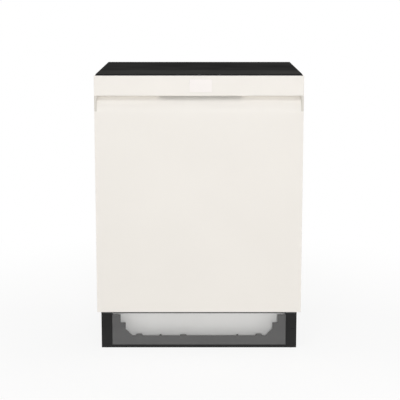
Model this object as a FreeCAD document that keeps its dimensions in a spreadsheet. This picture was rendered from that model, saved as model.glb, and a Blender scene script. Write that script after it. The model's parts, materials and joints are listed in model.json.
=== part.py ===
import FreeCAD, Part
import Sketcher
import math
import os
import re

# Built-under dishwasher, 60 cm class, in millimetres.
# +Z is up, the door faces -Y, the origin is on the floor under the middle of the appliance.

SIZES = {
    # whole appliance
    "width": 598.0,
    "depth": 575.0,
    "height": 820.0,
    # stock and clearances
    "steel": 1.0,
    "plastic": 2.5,
    "slack": 0.3,
    "running": 0.05,
    # door
    "door_depth": 49.5,
    "door_gap": 5.5,
    "door_foot": 126.3,
    "skin_return": 40.0,
    "notch_inset": 2.0,
    "liner_lift": 3.0,
    "liner_flange": 12.0,
    # control fascia and grip
    "fascia_height": 57.4,
    "grip_height": 52.0,
    "grip_depth": 20.0,
    "cheek_width": 7.5,
    "pocket_width": 238.0,
    "pocket_offset": 5.0,
    "pocket_depth": 24.0,
    "pocket_height": 30.0,
    "pocket_lip": 1.6,
    "pocket_wall": 2.0,
    "window_width": 64.0,
    "window_height": 37.0,
    "window_offset": 5.0,
    "strip_thick": 4.0,
    "key_length": 24.0,
    "key_width": 14.0,
    "key_pitch": 60.0,
    "key_rim": 2.0,
    "board_length": 180.0,
    "board_width": 30.0,
    "board_thick": 1.6,
    "board_drop": 11.0,
    "post_radius": 2.5,
    # hinge
    "hinge_inset": 32.5,
    "hinge_rise": 38.7,
    "pin_radius": 4.0,
    "hinge_plate": 3.0,
    "arm_space": 5.0,
    "arm_height": 250.0,
    "arm_depth": 24.0,
    "ear_radius": 10.0,
    "lever_reach": 34.0,
    "lever_width": 8.0,
    "bracket_length": 275.0,
    "swing_gap": 4.0,
    "spring_radius": 4.0,
    "spring_wire": 1.4,
    # base
    "base_inset": 7.5,
    "base_lift": 2.0,
    "base_floor": 4.0,
    "base_wall": 6.0,
    "base_drop": 11.3,
    "lip_height": 9.8,
    "post_width": 31.5,
    "post_depth": 36.0,
    "hose_recess": 45.0,
    "toe_inset": 2.0,
    "toe_side_gap": 1.2,
    "toe_thick": 3.0,
    "toe_top": 103.0,
    "toe_step": 78.0,
    "toe_sill": 37.9,
    "toe_tab": 25.0,
    "toe_shoulder": 15.0,
    "toe_chamfer": 20.0,
    "hook_place": 179.0,
    "hook_length": 21.6,
    "hook_height": 5.2,
    "rib_place": 115.0,
    "rib_length": 9.0,
    "rib_height": 4.6,
    "lug_place": 47.0,
    "lug_height": 3.3,
    "foot_radius": 13.0,
    "foot_thick": 4.0,
    "stem_radius": 5.0,
    "stem_length": 55.0,
    "stem_space": 1.2,
    # cabinet
    "lid_thick": 14.0,
    "lid_gap": 3.0,
    "panel_flange": 12.0,
    "screw_radius": 2.0,
    "screw_head": 4.0,
    "screw_rise": 2.0,
    "screw_length": 6.0,
    # tub
    "side_space": 24.0,
    "roof_space": 8.0,
    "rear_space": 27.0,
    "tub_round": 25.0,
    "sill_drop": 2.0,
    "flange_lift": 25.0,
    "gasket_width": 8.0,
    "track_rise": 1.2,
    "track_width": 16.0,
    # water circuit
    "well_place": 95.0,
    "well_radius": 66.0,
    "well_depth": 60.0,
    "well_wall": 4.0,
    "ledge_width": 16.0,
    "ledge_drop": 6.0,
    "filter_radius": 34.0,
    "filter_depth": 50.0,
    "filter_rim": 8.0,
    "filter_wall": 2.0,
    "pedestal_place": 10.0,
    "pedestal_radius": 13.0,
    "pedestal_height": 32.0,
    "arm_lift": 14.0,
    "arm_thick": 13.0,
    "arm_width": 42.0,
    "tip_width": 24.0,
    "lower_reach": 215.0,
    "upper_reach": 205.0,
    "ceiling_reach": 105.0,
    "hub_wall": 7.0,
    "pump_radius": 44.0,
    "intake_length": 8.0,
    "pump_drop": 50.0,
    "volute_length": 32.0,
    "motor_radius": 40.0,
    "motor_length": 92.0,
    "shaft_radius": 4.0,
    "impeller_radius": 34.0,
    "impeller_length": 14.0,
    "impeller_hub": 10.0,
    "vane_reach": 32.0,
    "vane_thick": 2.0,
    "intake_radius": 14.0,
    "heater_radius": 24.0,
    "heater_length": 120.0,
    "drain_radius": 10.0,
    "drain_place": 40.0,
    "drain_height": 70.0,
    "drain_motor": 26.0,
    "drain_length": 90.0,
    "drain_inset": 180.0,
    "inlet_radius": 13.2,
    "inlet_place": 200.0,
    "inlet_height": 80.0,
    "inlet_body": 50.0,
    "spigot_length": 28.0,
    "collar_thick": 3.0,
    "collar_rise": 3.0,
    "gland_radius": 9.0,
    "gland_place": 200.0,
    "gland_reach": 12.0,
    "salt_place": 185.0,
    "salt_gap": 6.5,
    "salt_width": 130.0,
    "salt_height": 89.0,
    "salt_neck": 28.0,
    "salt_mouth": 22.0,
    "salt_lip": 2.0,
    "salt_cap_radius": 32.0,
    "salt_cap_thick": 7.0,
    "salt_stem": 14.0,
    "pipe_radius": 10.0,
    "pipe_gap": 3.0,
    "pipe_bend": 30.0,
    "hanger_place": 60.0,
    "crown_radius": 12.0,
    "crown_below": 13.0,
    "crown_above": 9.0,
    "roof_drop": 14.0,
    "nozzle_radius": 7.0,
    "nozzle_drop": 24.0,
    "nut_radius": 11.2,
    "nut_rise": 4.0,
    "elbow_radius": 8.4,
    "elbow_below": 9.1,
    "elbow_above": 6.3,
    # racks
    "wire_radius": 2.0,
    "rim_radius": 3.0,
    "weld": 0.05,
    "wire_pitch": 36.0,
    "rim_corner": 30.0,
    "tine_radius": 1.8,
    "tine_height": 85.0,
    "cup_tine_height": 51.0,
    "tine_pitch": 30.0,
    "rack_gap": 14.0,
    "rack_rear": 30.0,
    "lower_gap": 24.0,
    "lower_side": 28.0,
    "lower_lift": 46.0,
    "lower_height": 115.0,
    "lower_rail": 12.0,
    "wheel_radius": 17.0,
    "wheel_width": 10.0,
    "wheel_inset": 90.0,
    "axle_radius": 3.0,
    "axle_block": 24.0,
    "axle_foot": 8.0,
    "axle_head": 16.0,
    "fold_place": 60.0,
    "fold_start": 45.0,
    "fold_margin": 12.0,
    "fold_length": 170.0,
    "upper_side": 25.0,
    "upper_drop": 152.0,
    "upper_height": 110.0,
    "runner_rise": 55.0,
    "rail_depth": 14.0,
    "rail_inset": 9.0,
    "rail_height": 26.0,
    "slot_height": 20.0,
    "slot_depth": 11.0,
    "runner_height": 11.4,
    "slider_web": 2.0,
    "shelf_rise": 75.0,
    "shelf_width": 70.0,
    "shelf_length": 300.0,
    "tray_drop": 100.0,
    "tray_height": 40.0,
    "tray_rise": 23.0,
    "tray_divider": 85.0,
    # detergent dispenser and latch, on the door liner
    "cup_place_x": 45.0,
    "cup_place_z": 470.0,
    "cup_width": 76.0,
    "cup_height": 56.0,
    "cup_depth": 18.0,
    "unit_width": 170.0,
    "unit_height": 150.0,
    "unit_depth": 26.0,
    "unit_rim": 5.0,
    "unit_face": 2.0,
    "lid_margin": 5.0,
    "shutter_thick": 3.0,
    "guide_width": 2.0,
    "thumb_height": 4.0,
    "thumb_rise": 1.0,
    "cap_radius": 16.0,
    "cap_stem": 9.0,
    "cap_rise": 6.0,
    "cap_bar_length": 25.0,
    "cap_bar_width": 4.0,
    "latch_drop": 9.0,
    "latch_length": 60.0,
    "latch_height": 28.0,
    "latch_depth": 20.0,
    "tongue_width": 16.0,
    "tongue_thick": 4.0,
    "tongue_reach": 12.0,
    "tongue_space": 2.0,
    "strike_length": 40.0,
    "strike_place": 20.0,
    "strike_thick": 3.0,
}

# Extra length of a cutting solid past the face that it opens.
PAST = 2.0

doc = FreeCAD.newDocument("dishwasher")
sheet = doc.addObject("Spreadsheet::Sheet", "dims")
for line, (alias, size) in enumerate(SIZES.items(), start=1):
    sheet.set(f"A{line}", alias)
    sheet.set(f"B{line}", str(size))
    sheet.setAlias(f"B{line}", alias)
doc.recompute()

parts = []


def bound(formula):
    """The formula with each size written as a cell of the sheet."""
    return re.sub(
        r"[a-z_]+[a-z_0-9]*",
        lambda word: f"dims.{word.group()}" if word.group() in SIZES else word.group(),
        formula,
    )


def number(formula):
    return float(sheet.evalExpression(bound(formula)))


def node(label, shape):
    """Names a finished sub-part."""
    shape.Label = label
    parts.append(shape)
    return shape


def place(thing, x="0", y="0", z="0"):
    for side, formula in zip("xyz", (x, y, z)):
        thing.setExpression(f"Placement.Base.{side}", bound(formula))
    return thing


def slab(name, x, y, z):
    """A block between two limits on each axis."""
    block = doc.addObject("Part::Box", name)
    for size, (low, high) in zip(("Length", "Width", "Height"), (x, y, z)):
        block.setExpression(size, bound(f"({high}) - ({low})"))
    return place(block, x[0], y[0], z[0])


TURN = {
    "x": FreeCAD.Rotation(FreeCAD.Vector(0, 1, 0), 90),
    "y": FreeCAD.Rotation(FreeCAD.Vector(1, 0, 0), -90),
    "z": FreeCAD.Rotation(),
}


def rod(name, axis, centre, radius, span):
    """A cylinder along an axis: its centre across the axis, and its two ends."""
    cylinder = doc.addObject("Part::Cylinder", name)
    cylinder.setExpression("Radius", bound(radius))
    cylinder.setExpression("Height", bound(f"({span[1]}) - ({span[0]})"))
    cylinder.Placement = FreeCAD.Placement(FreeCAD.Vector(), TURN[axis])
    spot = dict(zip([side for side in "xyz" if side != axis], centre))
    spot[axis] = span[0]
    return place(cylinder, spot["x"], spot["y"], spot["z"])


def fuse(name, *shapes):
    joined = doc.addObject("Part::MultiFuse", name)
    joined.Shapes = list(shapes)
    joined.Refine = True
    return joined


def cut(name, base, *tools):
    result = doc.addObject("Part::Cut", name)
    result.Base = base
    result.Tool = tools[0] if len(tools) == 1 else fuse(f"{name}_tools", *tools)
    return result


def common(name, base, tool):
    result = doc.addObject("Part::Common", name)
    result.Base = base
    result.Tool = tool
    return result


def group(name, *shapes):
    """Several like solids in one sub-part."""
    compound = doc.addObject("Part::Compound", name)
    compound.Links = list(shapes)
    return compound


def solids(name, shapes):
    """A sub-part of many loose wires, made from plain shapes."""
    feature = doc.addObject("Part::Feature", name)
    feature.Shape = Part.makeCompound(shapes)
    feature.Placement = FreeCAD.Placement()
    return feature


def both(low, high):
    """Limits on both sides of the middle plane."""
    return {1: (low, high), -1: (f"-({high})", f"-({low})")}


def rounded(name, block, edges, radius):
    """A block with some of its long edges rounded."""
    fillet = doc.addObject("Part::Fillet", name)
    fillet.Base = block
    doc.recompute()
    chosen = [
        (index, number(radius), number(radius))
        for index, edge in enumerate(block.Shape.Edges, start=1)
        if edges(edge.CenterOfMass, edge.tangentAt(edge.FirstParameter))
    ]
    fillet.Edges = chosen
    return fillet


def outline(body, name, plane, points):
    """A closed sketch through points whose places are all driven by the sheet."""
    sketch = body.newObject("Sketcher::SketchObject", name)
    origin = next(face for face in body.Origin.OriginFeatures if face.Role == plane)
    sketch.AttachmentSupport = (origin, [""])
    sketch.MapMode = "FlatFace"
    corners = [FreeCAD.Vector(number(u), number(v), 0) for u, v in points]
    count = len(corners)
    for index in range(count):
        sketch.addGeometry(Part.LineSegment(corners[index], corners[(index + 1) % count]), False)
    for index in range(count):
        sketch.addConstraint(Sketcher.Constraint("Coincident", index, 2, (index + 1) % count, 1))
    for index, (u, v) in enumerate(points):
        for kind, formula in (("DistanceX", u), ("DistanceY", v)):
            fixed = Sketcher.Constraint(kind, -1, 1, index, 1, number(formula))
            sketch.setExpression(f"Constraints[{sketch.addConstraint(fixed)}]", bound(formula))
    return sketch


def padded(name, plane, points, length):
    """A body padded from an outline. On XZ_Plane it grows towards -Y, on XY_Plane towards +Z."""
    body = doc.addObject("PartDesign::Body", name)
    pad = body.newObject("PartDesign::Pad", f"{name}_pad")
    pad.Profile = outline(body, f"{name}_outline", plane, points)
    pad.setExpression("Length", bound(length))
    body.Tip = pad
    return body


def turned(name, points):
    """A body turned about its own upright axis from half of its section."""
    body = doc.addObject("PartDesign::Body", name)
    sketch = outline(body, f"{name}_section", "XZ_Plane", points)
    revolution = body.newObject("PartDesign::Revolution", f"{name}_turn")
    revolution.Profile = sketch
    revolution.ReferenceAxis = (sketch, ["V_Axis"])
    revolution.Angle = 360
    body.Tip = revolution
    return body


# Main planes of the appliance, all worked out from the sheet.
FRONT = "(-depth/2)"
BACK = "(depth/2)"
SIDE = "(width/2)"
SIDE_IN = "(width/2 - steel)"
LINER = f"({FRONT} + door_depth)"
LINER_IN = f"({LINER} - steel)"
CASE = f"({LINER} + door_gap)"
LID_UNDER = "(height - lid_thick)"
STRIP_UNDER = "(height - strip_thick)"
FASCIA_FOOT = "(height - fascia_height)"
HINGE_Y = f"({FRONT} + hinge_inset)"
HINGE_Z = "(door_foot + hinge_rise)"
SWING = "sqrt(hinge_inset^2 + hinge_rise^2)"
SILL = f"({HINGE_Z} + {LINER} - {HINGE_Y})"
FLOOR = f"({SILL} - sill_drop)"
FLOOR_UNDER = f"({FLOOR} - steel)"
TRACK = f"({SILL} + track_rise)"
REAR_FACE = f"({BACK} - screw_rise)"
TUB_SIDE = f"({SIDE_IN} - side_space)"
TUB_IN = f"({TUB_SIDE} - steel)"
TUB_ROOF = f"({LID_UNDER} - roof_space)"
ROOF_IN = f"({TUB_ROOF} - steel)"
TUB_REAR = f"({REAR_FACE} - rear_space - 2*steel)"
BASE_SIDE = f"({SIDE} - base_inset)"
BASE_TOP = "(door_foot - base_drop)"
BASE_DECK = "(base_lift + base_floor)"
BASE_REAR = f"({BACK} - hose_recess)"
REAR_WALL = f"({BASE_REAR} - base_wall)"
SPIGOT_END = f"({BASE_REAR} + spigot_length)"
NOTCH_BACK = f"({HINGE_Y} + {SWING} + swing_gap)"
PIPE_Y = f"({TUB_REAR} - pipe_radius - pipe_gap)"
SALT_Y = f"({REAR_WALL} - inlet_body - salt_gap - salt_width/2)"
TRAY_FLOOR = f"({ROOF_IN} - tray_drop)"
UPPER_FLOOR = f"({TRAY_FLOOR} - upper_drop)"


def base_tray():
    outer = slab("tray_block", (f"-{BASE_SIDE}", BASE_SIDE), (CASE, BASE_REAR), ("base_lift", BASE_TOP))
    inner_side = f"({BASE_SIDE} - base_wall)"
    cavity = slab(
        "tray_cavity",
        (f"-{inner_side}", inner_side),
        (f"{CASE} + post_depth", REAR_WALL),
        (BASE_DECK, f"{BASE_TOP} + {PAST}"),
    )
    opening_side = f"({BASE_SIDE} - post_width)"
    opening = slab(
        "tray_opening",
        (f"-{opening_side}", opening_side),
        (f"{CASE} - {PAST}", f"{CASE} + post_depth + {PAST}"),
        ("lip_height", f"{BASE_TOP} + {PAST}"),
    )
    rear_post = slab(
        "tray_rear_post",
        ("-post_width/2", "post_width/2"),
        (f"{BASE_REAR} - post_depth", BASE_REAR),
        ("base_lift", BASE_TOP),
    )
    shell = fuse("tray_shell", cut("tray_hollow", outer, cavity, opening), rear_post)
    tools = []
    for name, (x, y) in FEET.items():
        seat = rod(f"{name}_seat", "z", (x, y), "foot_radius + 2*slack", ("0", "foot_thick + slack"))
        bore = rod(f"{name}_bore", "z", (x, y), "stem_radius + running",
                   ("0", "foot_thick + stem_length + stem_space"))
        tools += [seat, bore]
    wall = (f"{REAR_WALL} - {PAST}", f"{BASE_REAR} + {PAST}")
    tools.append(rod("inlet_hole", "y", ("-inlet_place", "inlet_height"), "inlet_radius + slack", wall))
    tools.append(rod("drain_hole", "y", ("drain_place", "drain_height"), "drain_radius + slack", wall))
    tools.append(rod("gland_hole", "y", ("gland_place", "inlet_height"), "gland_radius + slack", wall))
    node("base_tray", cut("base_tray", shell, *tools))


FEET = {
    "foot_front_left": (f"-({BASE_SIDE} - post_width/2)", f"{CASE} + post_depth/2"),
    "foot_front_right": (f"{BASE_SIDE} - post_width/2", f"{CASE} + post_depth/2"),
    "foot_rear": ("0", f"{BASE_REAR} - post_depth/2"),
}


def feet():
    section = (
        ("0", "0"),
        ("foot_radius", "0"),
        ("foot_radius", "foot_thick"),
        ("stem_radius", "foot_thick"),
        ("stem_radius", "foot_thick + stem_length"),
        ("0", "foot_thick + stem_length"),
    )
    for name, (x, y) in FEET.items():
        node(name, place(turned(name, section), x, y))


def toe_frame():
    """Moulded front frame: stepped opening with a row of small hooks and ribs on its sill."""
    side = f"({BASE_SIDE} - post_width - slack)"
    tab = f"({side} - toe_tab)"
    inner = f"({tab} - toe_shoulder)"
    points = [
        (f"-{side}", "lip_height"),
        (side, "lip_height"),
        (side, "toe_top"),
        (tab, "toe_top"),
        (tab, "toe_step"),
        (inner, "toe_step"),
        (inner, "toe_sill + toe_chamfer"),
        (f"{inner} - toe_chamfer", "toe_sill"),
    ]
    teeth = (
        ("hook_place", "hook_length/2", "hook_length*2/5", "hook_height"),
        ("rib_place", "rib_length/2", "rib_length/8", "rib_height"),
        ("-lug_place", "hook_length/2", "hook_length*2/5", "lug_height"),
        ("-rib_place", "rib_length/2", "rib_length/8", "rib_height"),
        ("-hook_place", "hook_length/2", "hook_length*2/5", "hook_height"),
    )
    for middle, foot, crown, rise in teeth:
        points.append((f"{middle} + {foot}", "toe_sill"))
        points.append((f"{middle} + {crown}", f"toe_sill + {rise}"))
        points.append((f"{middle} - {crown}", f"toe_sill + {rise}"))
        points.append((f"{middle} - {foot}", "toe_sill"))
    points += [
        (f"-({inner} - toe_chamfer)", "toe_sill"),
        (f"-{inner}", "toe_sill + toe_chamfer"),
        (f"-{inner}", "toe_step"),
        (f"-{tab}", "toe_step"),
        (f"-{tab}", "toe_top"),
        (f"-{side}", "toe_top"),
    ]
    frame = padded("toe_frame", "XZ_Plane", points, "toe_thick")
    node("toe_frame", place(frame, y=f"{CASE} + toe_inset + toe_thick"))


def toe_plate():
    side = f"({TUB_SIDE} - toe_side_gap)"
    near = f"{CASE} + post_depth + steel"
    plate = slab("toe_plate", (f"-{side}", side), (near, f"{near} + steel"), (BASE_DECK, HINGE_Z))
    node("toe_plate", plate)


# Heights of the rear panel's screws, as shares of the panel's height.
SCREW_SHARES = (0.06, 0.35, 0.65, 0.94)


def screw_places():
    """Screws of the rear panel: a row down each edge."""
    column = f"({SIDE_IN} - panel_flange/2)"
    heights = [f"({BASE_TOP} + ({LID_UNDER} - {BASE_TOP})*{share})" for share in SCREW_SHARES]
    return [(f"{sign}{column}", height) for sign in ("-", "") for height in heights]


def side_panels():
    lower = (BASE_TOP, LID_UNDER)
    near_rear = f"({REAR_FACE} - steel)"
    for label, sign in (("side_panel_right", 1), ("side_panel_left", -1)):
        plate = slab(f"{label}_plate", both(SIDE_IN, SIDE)[sign], (CASE, near_rear), lower)
        notch = slab(
            f"{label}_notch",
            both(f"{SIDE_IN} - {PAST}", f"{SIDE} + {PAST}")[sign],
            (f"{CASE} - {PAST}", NOTCH_BACK),
            (f"{BASE_TOP} - {PAST}", FLOOR),
        )
        foot = slab(
            f"{label}_foot",
            both(f"{BASE_SIDE} - base_wall + hinge_plate + slack", SIDE_IN)[sign],
            (NOTCH_BACK, near_rear),
            (BASE_TOP, f"{BASE_TOP} + steel"),
        )
        head = slab(
            f"{label}_head",
            both(f"{SIDE_IN} - panel_flange", SIDE_IN)[sign],
            (CASE, near_rear),
            (f"{LID_UNDER} - steel", LID_UNDER),
        )
        back = slab(
            f"{label}_back",
            both(f"{SIDE_IN} - panel_flange", SIDE_IN)[sign],
            (f"{near_rear} - steel", near_rear),
            lower,
        )
        bent = fuse(f"{label}_bent", cut(f"{label}_cut", plate, notch), foot, head, back)
        holes = [
            rod(f"{label}_hole_{index}", "y", spot, "screw_radius + running",
                (f"{near_rear} - steel - {PAST}", f"{near_rear} + {PAST}"))
            for index, spot in enumerate(screw_places())
        ]
        node(label, cut(label, bent, *holes))


def rear_panel():
    plate = slab("rear_sheet", (f"-{SIDE}", SIDE), (f"{REAR_FACE} - steel", REAR_FACE), (BASE_TOP, LID_UNDER))
    span = (f"{REAR_FACE} - steel - {PAST}", f"{REAR_FACE} + {PAST}")
    holes = [
        rod(f"rear_hole_{index}", "y", spot, "screw_radius + running", span)
        for index, spot in enumerate(screw_places())
    ]
    node("rear_panel", cut("rear_panel", plate, *holes))
    screws = []
    for index, spot in enumerate(screw_places()):
        shank = rod(f"shank_{index}", "y", spot, "screw_radius",
                    (f"{REAR_FACE} - screw_length", REAR_FACE))
        head = rod(f"head_{index}", "y", spot, "screw_head", (REAR_FACE, f"{REAR_FACE} + screw_rise"))
        screws.append(fuse(f"screw_{index}", shank, head))
    node("cabinet_screws", group("cabinet_screws", *screws))


def top_panel():
    panel = slab("top_panel", (f"-{SIDE}", SIDE), (f"{LINER} + lid_gap", BACK), (LID_UNDER, "height"))
    node("top_panel", panel)


def upper_edge(limit):
    """Picks the long edges that run along Y at the top of a block."""
    return lambda middle, way: abs(way.y) > 0.9 and middle.z > number(limit) - 1e-6


def tub():
    outer = slab("wrap_block", (f"-{TUB_SIDE}", TUB_SIDE), (CASE, TUB_REAR), (FLOOR_UNDER, TUB_ROOF))
    inner = slab(
        "wrap_hollow",
        (f"-{TUB_IN}", TUB_IN),
        (f"{CASE} - {PAST}", f"{TUB_REAR} + {PAST}"),
        (f"{FLOOR_UNDER} - {PAST}", ROOF_IN),
    )
    round_outer = rounded("wrap_round", outer, upper_edge(TUB_ROOF), "tub_round")
    round_inner = rounded("hollow_round", inner, upper_edge(ROOF_IN), "tub_round - steel")
    rim = slab(
        "wrap_rim",
        (f"-({SIDE_IN} - slack)", f"{SIDE_IN} - slack"),
        (CASE, f"{CASE} + steel"),
        (f"{FLOOR} + flange_lift", f"{LID_UNDER} - steel - slack"),
    )
    node("tub_wrap", cut("tub_wrap", fuse("wrap_and_rim", round_outer, rim), round_inner))

    sheet_y = (TUB_REAR, f"{TUB_REAR} + steel")
    back = slab("back_block", (f"-{TUB_SIDE}", TUB_SIDE), sheet_y, (FLOOR_UNDER, TUB_ROOF))
    node("tub_back", rounded("tub_back", back, upper_edge(TUB_ROOF), "tub_round"))

    plate = slab("floor_plate", (f"-{TUB_IN}", TUB_IN), (CASE, TUB_REAR), (FLOOR_UNDER, FLOOR))
    through = (f"{FLOOR_UNDER} - {PAST}", f"{FLOOR} + {PAST}")
    well = rod("floor_well", "z", ("0", "-well_place"), "well_radius", through)
    pedestal = rod("floor_pedestal", "z", ("0", "pedestal_place"), "pedestal_radius + slack", through)
    salt = rod("floor_salt", "z", ("-salt_place", SALT_Y), "salt_neck + slack", through)
    tracks = [
        slab(
            f"track_{sign}",
            both(f"{WHEEL_X} - track_width/2", f"{WHEEL_X} + track_width/2")[sign],
            (CASE, f"{TUB_REAR} - rack_rear"),
            (FLOOR, TRACK),
        )
        for sign in (1, -1)
    ]
    node("tub_floor", fuse("tub_floor", cut("floor_cut", plate, well, pedestal, salt), *tracks))


def door_gasket():
    """Rubber seal round the sides and top of the opening, just clear of the door liner."""
    foot = f"({FLOOR} + flange_lift)"
    span = (f"{LINER} + slack", CASE)
    side = f"({TUB_SIDE} + gasket_width)"
    roof = f"({ROOF_IN} + gasket_width - slack)"
    outer = slab("gasket_block", (f"-{side}", side), span, (foot, roof))
    inner = slab(
        "gasket_hollow",
        (f"-{TUB_SIDE}", TUB_SIDE),
        (f"{LINER} - {PAST}", f"{CASE} + {PAST}"),
        (f"{foot} - {PAST}", ROOF_IN),
    )
    round_outer = rounded("gasket_round", outer, upper_edge(roof), "tub_round + gasket_width")
    round_inner = rounded("gasket_inner", inner, upper_edge(ROOF_IN), "tub_round")
    node("door_gasket", cut("door_gasket", round_outer, round_inner))


BRACKET_X = f"({BASE_SIDE} - base_wall)"
ARM_X = f"({TUB_SIDE} + arm_space)"
LEVER_Z = f"({HINGE_Z} - steel - lever_width/2)"
ANCHOR_Y = f"({HINGE_Y} + bracket_length - lever_width)"


def hinges():
    brackets, arms, springs = [], [], []
    liner_foot = f"({HINGE_Z} + liner_lift)"
    for sign in (1, -1):
        plate_x = both(BRACKET_X, f"{BRACKET_X} + hinge_plate")[sign]
        pin_x = both(f"{ARM_X} - hinge_plate", f"{BRACKET_X} + hinge_plate")[sign]
        brackets.append(fuse(
            f"bracket_{sign}",
            rod(f"bracket_ear_{sign}", "x", (HINGE_Y, HINGE_Z), "ear_radius", plate_x),
            slab(f"bracket_arm_{sign}", plate_x, (HINGE_Y, NOTCH_BACK),
                 (f"{HINGE_Z} - ear_radius", f"{HINGE_Z} - steel")),
            slab(f"bracket_plate_{sign}", plate_x, (NOTCH_BACK, f"{HINGE_Y} + bracket_length"),
                 (BASE_TOP, f"{HINGE_Z} - steel")),
            rod(f"hinge_pin_{sign}", "x", (HINGE_Y, HINGE_Z), "pin_radius", pin_x),
            rod(f"spring_anchor_{sign}", "x", (ANCHOR_Y, LEVER_Z), "lever_width/3", pin_x),
        ))
        arm_x = both(ARM_X, f"{ARM_X} + hinge_plate")[sign]
        solid = fuse(
            f"arm_solid_{sign}",
            rod(f"arm_ear_{sign}", "x", (HINGE_Y, HINGE_Z), "ear_radius", arm_x),
            slab(f"arm_strap_{sign}", arm_x, (f"{LINER_IN} - arm_depth", LINER_IN),
                 (liner_foot, f"{liner_foot} + arm_height")),
            slab(f"arm_lever_{sign}", arm_x, (HINGE_Y, f"{HINGE_Y} + lever_reach"),
                 (f"{LEVER_Z} - lever_width/2", f"{LEVER_Z} + lever_width/2")),
        )
        bore = rod(f"arm_bore_{sign}", "x", (HINGE_Y, HINGE_Z), "pin_radius + running",
                   both(f"{ARM_X} - {PAST}", f"{ARM_X} + hinge_plate + {PAST}")[sign])
        arms.append(cut(f"arm_{sign}", solid, bore))
        middle = f"{sign}*({ARM_X} + hinge_plate/2)"
        coil = (f"{HINGE_Y} + lever_reach + slack", f"{ANCHOR_Y} - lever_width/3 - slack")
        springs.append(cut(
            f"spring_{sign}",
            rod(f"coil_{sign}", "y", (middle, LEVER_Z), "spring_radius", coil),
            rod(f"coil_bore_{sign}", "y", (middle, LEVER_Z), "spring_radius - spring_wire",
                (f"{coil[0]} - {PAST}", f"{coil[1]} + {PAST}")),
        ))
    node("hinge_brackets", group("hinge_brackets", *brackets))
    node("hinge_arms", group("hinge_arms", *arms))
    node("balance_springs", group("balance_springs", *springs))


GRIP_FOOT = f"({FASCIA_FOOT} - grip_height)"
GRIP_ROUND = "((grip_height^2 + grip_depth^2)/(2*grip_depth))"
GRIP_AXIS = (f"{FRONT} + {GRIP_ROUND}", GRIP_FOOT)


def door_skin():
    """Painted pan whose top rolls back under the fascia as a full-width grip."""

    def pan(name, inset, rear):
        side = f"({SIDE} - {inset})"
        across = (f"-{side}", side)
        low = slab(f"{name}_low", across, (f"{FRONT} + {inset}", rear), (f"door_foot + {inset}", GRIP_FOOT))
        high = slab(f"{name}_high", across, (FRONT, rear), (GRIP_FOOT, f"{FASCIA_FOOT} - {inset}"))
        roll = rod(f"{name}_roll", "x", GRIP_AXIS, f"{GRIP_ROUND} - {inset}", (f"-{SIDE}", SIDE))
        return fuse(name, low, common(f"{name}_top", high, roll))

    rear = f"({FRONT} + skin_return)"
    notches = [
        slab(
            f"skin_notch_{sign}",
            both(f"{TUB_SIDE} + steel", SIDE_IN)[sign],
            (f"{FRONT} + notch_inset", f"{rear} + {PAST}"),
            (f"door_foot - {PAST}", f"door_foot + steel + {PAST}"),
        )
        for sign in (1, -1)
    ]
    hollow = pan("skin_inner", "steel", f"({rear} + {PAST})")
    node("door_skin", cut("door_skin", pan("skin_outer", "0", rear), hollow, *notches))

    cheeks = []
    for sign in (1, -1):
        block = slab(
            f"cheek_block_{sign}",
            both(f"{SIDE} - cheek_width", SIDE)[sign],
            (f"{FRONT} + slack", f"{FRONT} + grip_depth"),
            (GRIP_FOOT, FASCIA_FOOT),
        )
        roll = rod(f"cheek_roll_{sign}", "x", GRIP_AXIS, f"{GRIP_ROUND} + running",
                   both(f"{SIDE} - cheek_width - {PAST}", f"{SIDE} + {PAST}")[sign])
        cheeks.append(cut(f"cheek_{sign}", block, roll))
    node("grip_cheeks", group("grip_cheeks", *cheeks))


POCKET_X = ("(pocket_offset - pocket_width/2)", "(pocket_offset + pocket_width/2)")
POCKET_Y = f"({FRONT} + plastic + slack)"


def control_fascia():
    outer = slab("fascia_block", (f"-{SIDE}", SIDE), (FRONT, LINER_IN), (FASCIA_FOOT, "height"))
    inner_side = f"({SIDE} - plastic)"
    hollow = slab(
        "fascia_hollow",
        (f"-{inner_side}", inner_side),
        (f"{FRONT} + plastic", f"{LINER_IN} + {PAST}"),
        (f"{FASCIA_FOOT} + plastic", f"height + {PAST}"),
    )
    mouth = slab(
        "fascia_mouth",
        (f"{POCKET_X[0]} - slack", f"{POCKET_X[1]} + slack"),
        (f"{FRONT} + plastic", f"{POCKET_Y} + pocket_depth + slack"),
        (f"{FASCIA_FOOT} - {PAST}", f"{FASCIA_FOOT} + plastic + {PAST}"),
    )
    middle = f"({FASCIA_FOOT} + fascia_height/2)"

    def pane(name, gap, past):
        return slab(
            name,
            (f"window_offset - window_width/2 - {gap}", f"window_offset + window_width/2 + {gap}"),
            (f"{FRONT} - {past}", f"{FRONT} + plastic + {past}"),
            (f"{middle} - window_height/2 - {gap}", f"{middle} + window_height/2 + {gap}"),
        )

    node("control_fascia", cut("control_fascia", outer, hollow, mouth, pane("window_hole", "slack/2", PAST)))
    node("status_window", pane("status_window", "0", 0))

    body = slab(
        "pocket_block",
        POCKET_X,
        (POCKET_Y, f"{POCKET_Y} + pocket_depth"),
        (FASCIA_FOOT, f"{FASCIA_FOOT} + pocket_height"),
    )
    lip = slab(
        "pocket_lip_block",
        POCKET_X,
        (POCKET_Y, f"{POCKET_Y} + pocket_wall"),
        (f"{FASCIA_FOOT} - pocket_lip", FASCIA_FOOT),
    )
    inside = slab(
        "pocket_hollow",
        (f"{POCKET_X[0]} + pocket_wall", f"{POCKET_X[1]} - pocket_wall"),
        (f"{POCKET_Y} + pocket_wall", f"{POCKET_Y} + pocket_depth - pocket_wall"),
        (f"{FASCIA_FOOT} - {PAST}", f"{FASCIA_FOOT} + pocket_height - pocket_wall"),
    )
    node("grip_pocket", cut("grip_pocket", fuse("pocket_and_lip", body, lip), inside))


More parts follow.
